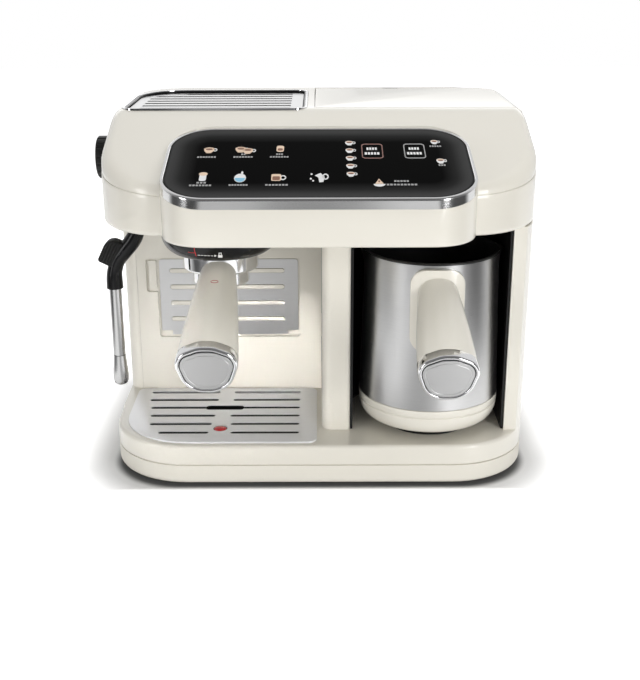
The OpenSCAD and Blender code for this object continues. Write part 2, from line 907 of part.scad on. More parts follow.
pot_tip = [pot_x + 2.5, -work_y - pot_reach, bracket_z[0] + 3.6];
pot_root_h = 36;
module pot_handle() {
    root_y = -work_y - pot_radius(bracket_z[1]) - bracket_t + neck_depth;
    root = [pot_x, root_y, bracket_z[1] - 4 - pot_root_h / 2];
    color(cream) difference() {
        grip(pot_tip, root, 32, pot_root_h, 13);
        pot_cone(bracket_t + 0.1);
    }
}

// ---------------------------------------------------------------- steam

wand_at = [-153, -work_y];
ball_z = head_z + 1;
ball_r = 9;
ball_seat_r = 13;
socket_z = [head_z - 5, head_z + 12];
module wand_socket() {
    color(black) translate(wand_at) difference() {
        union() {
            disc(ball_seat_r - fit, socket_z[0], socket_z[1]);
            disc(ball_seat_r + 4, inner_z, inner_z + 3);
        }
        translate([0, 0, ball_z]) sphere(ball_r + seat_gap);
        disc(1.8, ball_z, socket_z[1] + 1);
    }
}

// The arm's centre line: under the ball, at the elbow and at the sleeve
arm_top = [wand_at.x, wand_at.y, ball_z - 17];
elbow = [wand_at.x - 20, wand_at.y, ball_z - 31.5];
sleeve_at = [wand_at.x - 22, wand_at.y, ball_z - 43.5];
arm_r = 7.2;
sleeve_len = 17;
module arm_part(a, b, r) {
    hull() for (p = [a, b]) translate(p) sphere(r, $fn = 24);
}

// Black arm from the ball down to the sleeve, with a bore for the tube
module wand_arm() {
    color(black) difference() {
        union() {
            translate([wand_at.x, wand_at.y, ball_z]) sphere(ball_r);
            translate([wand_at.x, wand_at.y, 0]) disc(6, ball_z - 16, ball_z - 4);
            arm_part(arm_top, elbow, arm_r);
            arm_part(elbow, sleeve_at, arm_r);
            translate(sleeve_at) disc(arm_r, -sleeve_len, 0);
        }
        translate(sleeve_at) disc(tube_r + 0.05, -sleeve_len - 1, -5);
    }
}

// Rubber thumb tab that stands out from the elbow
tab_size = [11, 13, 23];           // reach out of the arm, thickness and length along the arm
tab_tilt = 26;
module wand_grip() {
    color([0.1, 0.1, 0.1]) difference() {
        translate(elbow + [0.5, 0, 1.6]) rotate([0, tab_tilt, 0]) along_y(tab_size.y)
            rounded([-tab_size.x, -tab_size.z / 2], [0, tab_size.z / 2], [2, 1, 1, 8]);
        arm_part(arm_top, elbow, arm_r + 0.05);
        arm_part(elbow, sleeve_at, arm_r + 0.05);
    }
}

module wand_tube() {
    color(steel) translate(sleeve_at) tube(tube_r, tube_r - 1, -sleeve_len - tube_len + 8, -5);
}

tip_len = 28;
module wand_tip() {
    z1 = 8 - sleeve_len - tube_len;
    z0 = z1 - tip_len;
    color(chrome) translate(sleeve_at) rotate_extrude() polygon([
        [1, z0], [tube_r - 1, z0], [tube_r + 1.4, z0 + 2.2], [tube_r + 1.8, z0 + 6], [tube_r + 1.4, z0 + 12],
        [tube_r + 0.2, z0 + 25], [tube_r, z1], [1, z1]
    ]);
}

shaft_r = 4;
shaft_len = 24;                    // depth of the knob's shaft behind the head's side
module steam_knob() {
    x0 = hw + seat_gap;
    x1 = hw + knob_reach;
    color(black) translate([0, knob_at[0], knob_at[1]]) rotate([0, -90, 0]) {
        difference() {
            union() {
                disc(knob_r, x0, x1 - 1);
                disc(knob_r - 1.2, x1 - 1, x1);
            }
            for (k = [0:17]) rotate(20 * k) translate([knob_r + 0.8, 0, 0]) disc(1.6, x0 + 4, x1 + 1);
        }
        disc(shaft_r, hw - shaft_len, x0 + 1);
    }
}

valve_x = [-hw + 52, -hw + 40];    // inner end and body of the steam valve
module steam_valve() {
    color([0.72, 0.62, 0.35]) translate([0, knob_at[0], knob_at[1]]) {
        rotate([0, -90, 0]) difference() {
            union() {
                disc(10, -valve_x[1], hw - wall - fit);
                disc(6, -valve_x[0], -valve_x[1]);
            }
            disc(shaft_r + 0.05, hw - shaft_len - 0.5, hw);
        }
        block([-hw + 20, -6, inner_z - knob_at[1]], [-hw + 30, 6, -9.5]);
        for (x = nozzle_x) translate([x, 0, 0]) rotate([90, 0, 0]) disc(3, 9.5, 16);
    }
}

// ---------------------------------------------------------------- inner works

shelf_t = 3;
shelf_z = tank_z - seat_gap;       // top of the tank's shelf
socket_at = [tank_x[0] + 30, tank_y[0] + 30];
socket_r = 10;
module tank_shelf() {
    color([0.8, 0.8, 0.78]) difference() {
        union() {
            translate([0, 0, shelf_z - shelf_t]) linear_extrude(shelf_t)
                even_rounded([tank_x[0] - 3, tank_y[0] - 3], [tank_x[1] + 3, tank_y[1] + 3], tank_r + 3);
            for (x = [tank_x[0] + 12, tank_x[1] - 20], y = [tank_y[0] + 8, tank_y[1] - 8])
                translate([x, y, 0]) disc(4, base_z, shelf_z - shelf_t);
        }
        translate(socket_at) disc(socket_r, shelf_z - 10, shelf_z + 1);
    }
}

module tank_socket() {
    color(black) translate(socket_at) difference() {
        union() {
            disc(socket_r - fit, shelf_z - 14, shelf_z);
            disc(socket_r + 3, shelf_z - shelf_t - 3, shelf_z - shelf_t);
            disc(4, shelf_z - 24, shelf_z - 14);
        }
        disc(stub_r + 0.3, shelf_z - 10, shelf_z + 1);
        disc(1.8, shelf_z - 25, shelf_z);
    }
}

pump_at = [-110, 62];
pump_z = [base_z + 16, base_z + 112];
module pump() {
    color([0.86, 0.86, 0.84]) translate(pump_at) {
        disc(12, pump_z[0], pump_z[0] + 20);
        disc(22, pump_z[0] + 20, pump_z[1] - 30);
        disc(11, pump_z[1] - 30, pump_z[1] - 10);
        disc(4, pump_z[1] - 10, pump_z[1]);
        translate([0, 0, pump_z[0] + 15]) rotate([0, 90, 0]) disc(3, 10, 24);
    }
}

module pump_mounts() {
    color([0.15, 0.15, 0.15]) translate(pump_at) difference() {
        disc(17, base_z, pump_z[0] + 11);
        disc(12.1, pump_z[0], pump_z[0] + 12);
    }
}

meter_at = [-10, 70];
meter_z = base_z + 12;
module flow_meter() {
    color([0.2, 0.25, 0.5]) translate(meter_at) {
        disc(14, base_z, base_z + 22);
        translate([0, 0, meter_z]) rotate([0, 90, 0]) cylinder(r = 3, h = 52, center = true);
    }
}

board_y = hd - wall - 14;
board_z = [base_z + 32, head_z - 29];
module control_board() {
    color([0.1, 0.35, 0.2]) {
        block([-110, board_y, board_z[0]], [5, board_y + 1.6, board_z[1]]);
        for (x = [-104, -1], z = [board_z[0] + 8, board_z[1] - 8])
            translate([x, hd - wall, z]) rotate([90, 0, 0]) disc(3, 0, hd - wall - board_y);
        for (x = [-90, -60, -30])
            block([x, board_y - 16, board_z[1] - 50], [x + 18, board_y, board_z[1] - 25]);
        block([-80, board_y - 18, board_z[0] + 15], [-30, board_y, board_z[0] + 55]);
    }
}

// Ring of points round p, square to direction t
hose_sides = 8;
function unit(v) = v / norm(v);
function hose_ring(p, t, r) =
    let (side = unit(cross(t, abs(t.z) > 0.9 * norm(t) ? [1, 0, 0] : [0, 0, 1])), up = unit(cross(side, t)))
    [for (k = [0:hose_sides - 1]) let (a = 360 * k / hose_sides) p + r * (cos(a) * side + sin(a) * up)];

// Corner b of a route, rounded between points at reach on both sides
function corner_arc(a, b, c, reach, steps) =
    let (p = b + unit(a - b) * reach, q = b + unit(c - b) * reach)
    [for (k = [0:steps]) let (u = k / steps) (1 - u) * (1 - u) * p + 2 * u * (1 - u) * b + u * u * q];
function hose_path(route, reach = 7, steps = 4) = concat(
    [route[0]],
    [for (i = [1:len(route) - 2]) each corner_arc(route[i - 1], route[i], route[i + 1], reach, steps)],
    [route[len(route) - 1]]);

// Hose of radius r along a route
module hose(route, r) {
    path = hose_path(route);
    n = len(path);
    s = hose_sides;
    dirs = [for (i = [0:n - 1]) unit(path[min(i + 1, n - 1)] - path[max(i - 1, 0)])];
    points = [for (i = [0:n - 1]) each hose_ring(path[i], dirs[i], r)];
    walls = [for (i = [0:n - 2], k = [0:s - 1])
        let (a = i * s + k, b = i * s + (k + 1) % s) each [[a, b, b + s], [a, b + s, a + s]]];
    ends = [[for (k = [0:s - 1]) s - 1 - k], [for (k = [0:s - 1]) (n - 1) * s + k]];
    polyhedron(points, concat(walls, ends), convexity = 10);
}

// Routes leave and meet each port squarely, seat_gap short of it
feed_route = [
    [meter_at.x - 26 - seat_gap, meter_at.y, meter_z], [meter_at.x - 45, meter_at.y, meter_z],
    [pump_at.x + 44, pump_at.y, pump_z[0] + 15], [pump_at.x + 24 + seat_gap, pump_at.y, pump_z[0] + 15]
];
suction_route = [
    [meter_at.x + 26 + seat_gap, meter_at.y, meter_z], [meter_at.x + 42, meter_at.y, meter_z],
    [socket_at.x, socket_at.y, meter_z + 35], [socket_at.x, socket_at.y, shelf_z - 24 - seat_gap]
];
pressure_route = [
    [pump_at.x, pump_at.y, pump_z[1] + seat_gap], [pump_at.x, pump_at.y, 190],
    [-60, 30, 208], [-60, 22, port_at[1]], [-20, -10, port_at[1]],
    [-15, port_at[0], port_at[1]], [block_hi.x + seat_gap, port_at[0], port_at[1]]
];
nozzle_x = [-hw + 30, -hw + 14];   // inlet and outlet of the steam valve
nozzle_y = knob_at[0] - 16 - seat_gap;
steam_in_route = [
    [block_lo.x - seat_gap, port_at[0], port_at[1]], [block_lo.x - 10, port_at[0], port_at[1]],
    [nozzle_x[0] - 4, nozzle_y - 20, knob_at[1] + 3], [nozzle_x[0], nozzle_y - 10, knob_at[1]],
    [nozzle_x[0], nozzle_y, knob_at[1]]
];
steam_out_route = [
    [nozzle_x[1], nozzle_y, knob_at[1]], [nozzle_x[1], nozzle_y - 16, knob_at[1]],
    [nozzle_x[1], wand_at.y + 30, socket_z[1] + 5], [wand_at.x, wand_at.y, socket_z[1] + 14],
    [wand_at.x, wand_at.y, socket_z[1] + seat_gap]
];
module suction_hose() {
    color([0.85, 0.85, 0.8]) {
        hose(feed_route, 3.2);
        hose(suction_route, 3.2);
    }
}
module pressure_hose() {
    color([0.9, 0.9, 0.88]) hose(pressure_route, 3.2);
}
module steam_pipes() {
    color([0.72, 0.45, 0.3]) {
        hose(steam_in_route, 2.2);
        hose(steam_out_route, 2.2);
    }
}

// ---------------------------------------------------------------- water tank and lid

stub_r = 6.8;
tank_t = 2.5;
pin_r = 1.5;
module water_tank() {
    top = tank_z + tank_h;
    mid_y = (tank_y[0] + tank_y[1]) / 2;
    color([0.75, 0.8, 0.82, 0.5]) difference() {
        union() {
            difference() {
                translate([0, 0, tank_z]) linear_extrude(tank_h)
                    even_rounded([tank_x[0], tank_y[0]], [tank_x[1], tank_y[1]], tank_r);
                translate([0, 0, tank_z + tank_t]) linear_extrude(tank_h)
                    even_rounded([tank_x[0] + tank_t, tank_y[0] + tank_t],
                                 [tank_x[1] - tank_t, tank_y[1] - tank_t], tank_r - tank_t);
            }
            translate(socket_at) disc(stub_r, shelf_z - 8, tank_z + 1);
            // bar to lift the tank by
            block([tank_x[0] + 1, mid_y - 7, top - 4], [tank_x[1] - 1, mid_y + 7, top]);
            // hinge ear of the lid
            block([ear_x[0], tank_y[1] - 1, top - 30], [ear_x[1], hinge_at[0] + hinge_r, top]);
            block([ear_x[0], hinge_at[0] - hinge_r, top - 1], [ear_x[1], hinge_at[0] + hinge_r, hinge_at[1]]);
            translate([ear_x[0], hinge_at[0], hinge_at[1]]) rotate([0, 90, 0])
                disc(hinge_r, 0, ear_x[1] - ear_x[0]);
        }
        translate(socket_at) disc(3, shelf_z - 10, tank_z + tank_t + 1);
        translate([0, hinge_at[0], hinge_at[1]]) rotate([0, 90, 0]) disc(pin_r + 0.05, 0, far);
    }
}

module tank_lid() {
    g = 0.4;                       // side gap between the lid and the tank's ear
    color(cream) {
        difference() {
            intersection() {
                head_form();
                union() {
                    block([lid_x0, lid_y[0], lid_z], [far, hinge_at[0], far]);
                    translate([lid_x0, hinge_at[0], hinge_at[1]]) rotate([0, 90, 0]) disc(hinge_r, 0, far);
                }
            }
            // hollow underside
            translate([0, 0, lid_z - 1]) linear_extrude(lid_t - 2 + 1) intersection() {
                body_plan(14);
                translate([lid_x0 + 5, lid_y[0] + 5]) square([far, hinge_at[0] - lid_y[0] - 12]);
            }
            // notch round the ear
            block([ear_x[0] - g, hinge_at[0] - hinge_r - 1, 0], [ear_x[1] + g, far, far]);
        }
        translate([ear_x[0] - 2, hinge_at[0], hinge_at[1]]) rotate([0, 90, 0])
            disc(pin_r, 0, ear_x[1] - ear_x[0] + 4);
    }
}

// ---------------------------------------------------------------- drip tray

bin_t = 1.8;
bin_z = base_z - bin_h;
module drip_bin() {
    color([0.9, 0.9, 0.88]) difference() {
        translate([0, 0, bin_z]) linear_extrude(bin_h) tray_plan();
        translate([0, 0, bin_z + bin_t]) linear_extrude(bin_h) tray_plan(bin_t);
    }
}

grid_t = 1.6;
grid_over = 1.2;                   // how far the grid laps over the base
grid_rows = 6;
grid_pitch = 18.3;
grid_gap = 6.5;                    // half the web between the left and right slots
tray_mid = (tray_lo.x + tray_hi.x) / 2;
float_at = [tray_mid, tray_lo.y + 27];
float_r = 6;
function row_y(k) = tray_hi.y - 10 - grid_pitch * k;
module drip_grid() {
    color(steel) difference() {
        union() {
            translate([0, 0, base_z]) linear_extrude(grid_t) tray_plan(-grid_over);
            // rim that centres the grid in the bin
            translate([0, 0, base_z - 4]) linear_extrude(4) difference() {
                tray_plan(bin_t + seat_gap);
                tray_plan(bin_t + seat_gap + 1.6);
            }
        }
        for (k = [0:grid_rows - 1], s = [-1, 1])
            translate([tray_mid, row_y(k), base_z - 1]) linear_extrude(grid_t + 2)
                even_rounded([min(s * 68.5, s * grid_gap), -2], [max(s * 68.5, s * grid_gap), 2], 1.95);
        // wide opening in the middle
        translate([tray_mid, row_y(2), base_z - 1]) linear_extrude(grid_t + 2)
            even_rounded([-13, -3.6], [13, 3.6], 3.5);
        translate(float_at) disc(float_r + 1, base_z - 1, base_z + grid_t + 1);
    }
}

module drip_float() {
    z0 = bin_z + bin_t;
    color([0.75, 0.08, 0.08]) translate(float_at) {
        disc(9, z0, z0 + 5);
        disc(2.5, z0 + 5, base_z - 3);
        disc(float_r, base_z - 3, base_z + grid_t + 1);
    }
}

// ---------------------------------------------------------------- nodes

module filter_ring() {
    cap_ring(filter_tip);
}
module filter_disc() {
    cap_disc(filter_tip);
}
module pot_ring() {
    cap_ring(pot_tip);
}
module pot_disc() {
    cap_disc(pot_tip);
}

feet();
base_pan();
base_shell();
case_screws();
left_side_panel();
right_side_panel();
rear_cover();
bay_panel();
splash_plate();
pillar_trim();
chamber_liner();
pot_seat();
head_shell();
head_floor();
nose_shell();
display_bezel();
display_glass();
touch_board();
cup_grille();
grille_pan();
tank_shelf();
tank_socket();
cable_gland();
pump();
pump_mounts();
thermoblock();
flow_meter();
control_board();
suction_hose();
pressure_hose();
steam_pipes();
group_head();
group_collar();
group_gasket();
shower_screen();
steam_valve();
wand_socket();
water_tank();
tank_lid();
steam_knob();
wand_arm();
wand_grip();
wand_tube();
wand_tip();
filter_holder();
filter_basket();
filter_spout();
filter_handle();
filter_ring();
filter_disc();
pot_shell();
pot_liner();
pot_base();
pot_bracket();
pot_handle();
pot_ring();
pot_disc();
drip_bin();
drip_grid();
drip_float();
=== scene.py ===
from math import asin, cos, degrees, exp, pi, radians, sin, sqrt, tan
import bmesh
import bpy
from mathutils import Matrix, Vector
from mathutils.bvhtree import BVHTree


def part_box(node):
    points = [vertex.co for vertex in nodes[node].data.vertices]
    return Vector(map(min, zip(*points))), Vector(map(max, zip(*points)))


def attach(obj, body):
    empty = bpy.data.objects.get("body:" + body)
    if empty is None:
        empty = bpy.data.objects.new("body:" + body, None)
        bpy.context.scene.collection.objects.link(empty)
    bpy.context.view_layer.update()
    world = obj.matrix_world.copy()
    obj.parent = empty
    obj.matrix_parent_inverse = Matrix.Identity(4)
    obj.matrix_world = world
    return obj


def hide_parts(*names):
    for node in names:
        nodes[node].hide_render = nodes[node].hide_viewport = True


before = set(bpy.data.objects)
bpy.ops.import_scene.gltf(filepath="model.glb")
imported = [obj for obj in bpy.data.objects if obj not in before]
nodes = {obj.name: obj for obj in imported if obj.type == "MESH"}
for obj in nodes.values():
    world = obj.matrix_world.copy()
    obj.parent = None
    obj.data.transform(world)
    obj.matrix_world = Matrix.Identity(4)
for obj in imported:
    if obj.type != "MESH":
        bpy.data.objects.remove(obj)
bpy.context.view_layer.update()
print("frame loaded,", len(nodes), "solids")


def newObject(name, data):
    obj = bpy.data.objects.new(name, data)
    bpy.context.scene.collection.objects.link(obj)
    return obj


# Points are in millimetres until they become a mesh.
def makePiece(name, points, faces, creaseAngle=32):
    mesh = bpy.data.meshes.new(name)
    mesh.from_pydata([(x / 1000, y / 1000, z / 1000) for x, y, z in points], [], faces)
    mesh.validate()
    bm = bmesh.new()
    bm.from_mesh(mesh)
    bmesh.ops.recalc_face_normals(bm, faces=bm.faces)
    bm.to_mesh(mesh)
    bm.free()
    piece = newObject(name, mesh)
    smoothBelow(piece, creaseAngle)
    return piece


def smoothBelow(piece, creaseAngle):
    piece.data.shade_smooth()
    piece.data.set_sharp_from_angle(angle=radians(creaseAngle))


# A piece that replaces a solid takes the solid's look.
def dress(piece, body, node=None, look=None):
    piece.data.materials.clear()
    piece.data.materials.append(finish[look or lookOf[node]])
    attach(piece, body)
    if node:
        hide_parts(node)


def arc(centreX, centreY, radius, startDeg, endDeg, steps):
    turn = [radians(startDeg + (endDeg - startDeg) * i / steps) for i in range(steps + 1)]
    return [(centreX + radius * cos(a), centreY + radius * sin(a)) for a in turn]


# Angles all the way round in even steps, from the first one's place within its step.
def round360(steps, first=0.0):
    return [2 * pi * (k + first) / steps for k in range(steps)]


# Piece between rings that have the same number of points; strips are the ends of a mirrored outline.
def ringPiece(name, rings, closed=False, ends="face", creaseAngle=32):
    count = len(rings[0])
    starts = [count * i for i in range(len(rings))]
    pairs = list(zip(starts, starts[1:])) + ([(starts[-1], 0)] if closed else [])
    faces = [(a + k, a + (k + 1) % count, b + (k + 1) % count, b + k) for a, b in pairs for k in range(count)]
    caps = () if closed else (0, starts[-1])
    for base in caps:
        if ends == "face":
            faces.append(tuple(base + k for k in range(count)))
        else:
            faces += [(base + k, base + k + 1, base + count - 2 - k, base + count - 1 - k)
                      for k in range(count // 2 - 1)]
    return makePiece(name, [p for ring in rings for p in ring], faces, creaseAngle)


# Quarter circle as (x, y, normal x, normal y).
def quarter(x, y, radius, startDeg, steps):
    turns = [radians(startDeg + 90 * i / steps) for i in range(steps + 1)]
    return [(x + radius * cos(a), y + radius * sin(a), cos(a), sin(a)) for a in turns]


# Rounded outline with normals: right half from the front, then left half back.
def plan(low, high, radii, arcSteps=10, sideSteps=1):
    frontR, backR = radii
    middle, half = (low[0] + high[0]) / 2, (high[0] - low[0]) / 2
    y0, y1 = low[1], high[1]
    right = quarter(half - frontR, y0 + frontR, frontR, -90, arcSteps)
    right += [(half, y0 + frontR + (y1 - backR - y0 - frontR) * i / sideSteps, 1, 0) for i in range(1, sideSteps)]
    right += quarter(half - backR, y1 - backR, backR, 0, arcSteps)
    left = [(-x, y, -nx, ny) for x, y, nx, ny in reversed(right)]
    return [(middle + x, y, nx, ny) for x, y, nx, ny in right + left]


# As plan, with a radius each for front left, front right, back right and back left.
def cornerPlan(low, high, radii, arcSteps=8):
    corners = ((low[0], low[1], 1, 1, 180), (high[0], low[1], -1, 1, 270),
               (high[0], high[1], -1, -1, 0), (low[0], high[1], 1, -1, 90))
    return [point for (x, y, sx, sy, start), r in zip(corners, radii)
            for point in quarter(x + sx * r, y + sy * r, r, start, arcSteps)]


# One ring of an outline; inset and height are numbers, or functions of the point's y.
def planRing(outline, inset, height):
    ring = []
    for x, y, nx, ny in outline:
        d = inset(y) if callable(inset) else inset
        px, py = x - nx * d, y - ny * d
        ring.append((px, py, height(py) if callable(height) else height))
    return ring


# Piece with one outline all the way up, set in as its (inset, height) profile says.
def stacked(name, outline, profile, closed=False, ends="strips"):
    return ringPiece(name, [planRing(outline, inset, height) for inset, height in profile], closed, ends)


def prism(outline, z0, z1, inset=0):
    return stacked("tool", outline, ((inset, z0), (inset, z1)), ends="face")


def slab(low, high):
    return prism([(low[0], low[1], 0, 0), (high[0], low[1], 0, 0),
                  (high[0], high[1], 0, 0), (low[0], high[1], 0, 0)], low[2], high[2])


# Cutter with round corners, from its lowest and highest (x, y).
def roundSlot(low, high, radius, z0, z1, arcSteps=6):
    return prism(cornerPlan(low, high, (radius,) * 4, arcSteps), z0, z1)


# Turned piece from a (radius, height) profile; a closed profile makes a tube.
def lathe(name, profile, centre=(0, 0), steps=96, closed=True, creaseAngle=32):
    rings = [[(centre[0] + r * cos(a), centre[1] + r * sin(a), z) for a in round360(steps)]
             for r, z in profile]
    return ringPiece(name, rings, closed, creaseAngle=creaseAngle)


def pillar(x, y, radius, z0, z1, steps=32):
    return lathe("tool", ((radius, z0), (radius, z1)), (x, y), steps, closed=False)


# Rounds each corner of a closed (r, z) profile, with a radius for each corner.
def roundedProfile(corners, radii, steps=4):
    out = []
    for i, r in enumerate(radii):
        before, here, after = (Vector(corners[k % len(corners)]) for k in (i - 1, i, i + 1))
        a, b = (before - here), (after - here)
        if r <= 0:
            out.append(tuple(here))
            continue
        reach = min(r, a.length * 0.48, b.length * 0.48)
        a, b = here + a.normalized() * reach, here + b.normalized() * reach
        for k in range(steps + 1):
            u = k / steps
            out.append(tuple((1 - u) ** 2 * a + 2 * u * (1 - u) * here + u * u * b))
    return out


# Boolean with each cutter in turn; the cutters are used up.
def carve(piece, cutters, operation="DIFFERENCE", creaseAngle=32):
    for cutter in cutters:
        modifier = piece.modifiers.new("carve", "BOOLEAN")
        modifier.operation = operation
        modifier.solver = "MANIFOLD"
        modifier.object = cutter
    bpy.context.view_layer.update()
    result = bpy.data.meshes.new_from_object(piece.evaluated_get(bpy.context.evaluated_depsgraph_get()))
    piece.modifiers.clear()
    piece.data = result
    for cutter in cutters:
        bpy.data.objects.remove(cutter)
    smoothBelow(piece, creaseAngle)


# Copy of a solid with its flat faces joined and its edges rounded.
def softened(node, width, segments=2, creaseAngle=35, angle=32, trim=None):
    piece = newObject(node + "Soft", nodes[node].data.copy())
    bm = bmesh.new()
    bm.from_mesh(piece.data)
    bmesh.ops.remove_doubles(bm, verts=bm.verts, dist=2e-6)
    if trim:
        bm.to_mesh(piece.data)
        carve(piece, [trim], "INTERSECT")
        bm.clear()
        bm.from_mesh(piece.data)
        bmesh.ops.remove_doubles(bm, verts=bm.verts, dist=2e-6)
    bmesh.ops.dissolve_limit(bm, angle_limit=radians(0.6), verts=bm.verts, edges=bm.edges)
    limit = radians(angle)
    sharp = [edge for edge in bm.edges if len(edge.link_faces) == 2 and edge.calc_face_angle(0) > limit]
    bmesh.ops.bevel(bm, geom=sharp, offset=width / 1000, segments=segments, profile=0.5,
                    affect="EDGES", clamp_overlap=True)
    bm.to_mesh(piece.data)
    bm.free()
    smoothBelow(piece, creaseAngle)
    return piece


# A value of a node is a number, a colour or another node's socket.
def addNode(tree, kind, values=(), **settings):
    node = tree.nodes.new("ShaderNode" + kind)
    for key, value in settings.items():
        setattr(node, key, value)
    for key, value in dict(values).items():
        if isinstance(value, bpy.types.NodeSocket):
            tree.links.new(value, node.inputs[key])
        else:
            node.inputs[key].default_value = value
    return node


def maths(tree, operation, a, b=0.0, clamp=False):
    return addNode(tree, "Math", {0: a, 1: b}, operation=operation, use_clamp=clamp).outputs[0]


def blendColour(tree, factor, a, b, mode="MIX"):
    return addNode(tree, "Mix", {"Factor": factor, "A": a, "B": b}, data_type="RGBA",
                   blend_type=mode).outputs["Result"]


def noise(tree, vector, scale, detail=3.0, roughness=0.5):
    return addNode(tree, "TexNoise", {"Vector": vector, "Scale": scale, "Detail": detail,
                                      "Roughness": roughness}).outputs["Fac"]


def mapped(tree, value, start, end, low=0.0, high=1.0, style="SMOOTHSTEP"):
    return addNode(tree, "MapRange", {"Value": value, "From Min": start, "From Max": end, "To Min": low,
                                      "To Max": high}, interpolation_type=style).outputs["Result"]


def placed(tree):
    return addNode(tree, "TexCoord").outputs["Object"]


def grey(tone):
    return (tone, tone, tone, 1)


# Whether the camera looks, and whether a mirror or clear plastic does.
def lookers(tree):
    path = addNode(tree, "LightPath").outputs
    return path["Is Camera Ray"], maths(tree, "MAXIMUM", path["Is Glossy Ray"], path["Is Transmission Ray"])


# Pattern round its middle, times an amount.
def swing(tree, pattern, amount):
    return maths(tree, "MULTIPLY", maths(tree, "SUBTRACT", pattern, 0.5), amount)


def toned(tree, colour, amount):
    return addNode(tree, "HueSaturation", {"Color": colour, "Value": maths(tree, "ADD", amount, 1.0)}).outputs[0]


# Group that several materials share; parts makes its colour, roughness and height.
def newGroup(name, inputs, parts):
    tree = bpy.data.node_groups.new(name, "ShaderNodeTree")
    for label, value in inputs.items():
        kind = "Float" if isinstance(value, float) else {3: "Vector", 4: "Color"}[len(value)]
        tree.interface.new_socket(label, in_out="INPUT", socket_type="NodeSocket" + kind).default_value = value
    for label, kind in (("Color", "Color"), ("Roughness", "Float"), ("Height", "Float")):
        tree.interface.new_socket(label, in_out="OUTPUT", socket_type="NodeSocket" + kind)
    made = parts(tree, tree.nodes.new("NodeGroupInput").outputs, placed(tree))
    for source, socket in zip(made, tree.nodes.new("NodeGroupOutput").inputs):
        tree.links.new(source, socket)
    return tree


# moulded plastic: slow colour drift, smudges in the gloss, fine grain for bump
def mouldedParts(tree, given, where):
    drift = swing(tree, noise(tree, where, 7.0, 2.0), given["Drift"])
    smear = swing(tree, noise(tree, where, 22.0, 4.0), given["Smudge"])
    return (toned(tree, given["Color"], drift), maths(tree, "ADD", given["Roughness"], smear, True),
            noise(tree, where, given["Grain Scale"], 2.0))


# brushed metal: hair lines that run along the directions with a small scale
def brushedParts(tree, given, where):
    stretch = addNode(tree, "VectorMath", {0: where, 1: given["Line Scale"]}, operation="MULTIPLY")
    lines = noise(tree, stretch.outputs["Vector"], 1.0, 4.0, 0.65)
    rough = maths(tree, "ADD", swing(tree, lines, given["Roughness Lines"]), given["Roughness"])
    patch = swing(tree, noise(tree, where, 16.0), 0.08)
    return (toned(tree, given["Color"], swing(tree, lines, given["Contrast"])),
            maths(tree, "ADD", rough, patch, True), lines)


mouldGroup = newGroup("mouldedSurface", {
    "Color": grey(0.8), "Drift": 0.03, "Grain Scale": 900.0, "Roughness": 0.3, "Smudge": 0.06}, mouldedParts)
brushGroup = newGroup("brushedSurface", {
    "Color": grey(0.7), "Line Scale": (10, 10, 1500), "Contrast": 0.12, "Roughness": 0.3,
    "Roughness Lines": 0.15}, brushedParts)
print("shader groups made")


def newMaterial(name, shader=()):
    material = bpy.data.materials.new(name)
    material.use_nodes = True
    tree = material.node_tree
    surface = tree.nodes["Principled BSDF"]
    for key, value in dict(shader).items():
        surface.inputs[key].default_value = value
    return material, tree, surface.inputs


# Material that takes colour, roughness and bump from one of the groups.
def grained(name, group, values, bump, shader):
    material, tree, surface = newMaterial(name, shader)
    source = addNode(tree, "Group", values, node_tree=group).outputs
    relief = addNode(tree, "Bump", {"Strength": bump, "Distance": 0.0002, "Height": source["Height"]})
    tree.links.new(source["Color"], surface["Base Color"])
    tree.links.new(source["Roughness"], surface["Roughness"])
    tree.links.new(relief.outputs["Normal"], surface["Normal"])
    return material


def moulded(name, colour, roughness, bump=0.05, grainScale=900.0, drift=0.03, smudge=0.06, shader=()):
    values = {"Color": (*colour, 1), "Drift": drift, "Grain Scale": grainScale,
              "Roughness": roughness, "Smudge": smudge}
    return grained(name, mouldGroup, values, bump, shader)


def brushed(name, colour, lineScale, roughness=0.3, contrast=0.14, bump=0.08, lines=0.16, metallic=1.0):
    values = {"Color": (*colour, 1), "Line Scale": lineScale, "Contrast": contrast,
              "Roughness": roughness, "Roughness Lines": lines}
    return grained(name, brushGroup, values, bump, {"Metallic": metallic})


cream = (0.775, 0.745, 0.665)
metal = {"Metallic": 1.0}
dull = {"Specular IOR Level": 0.35}
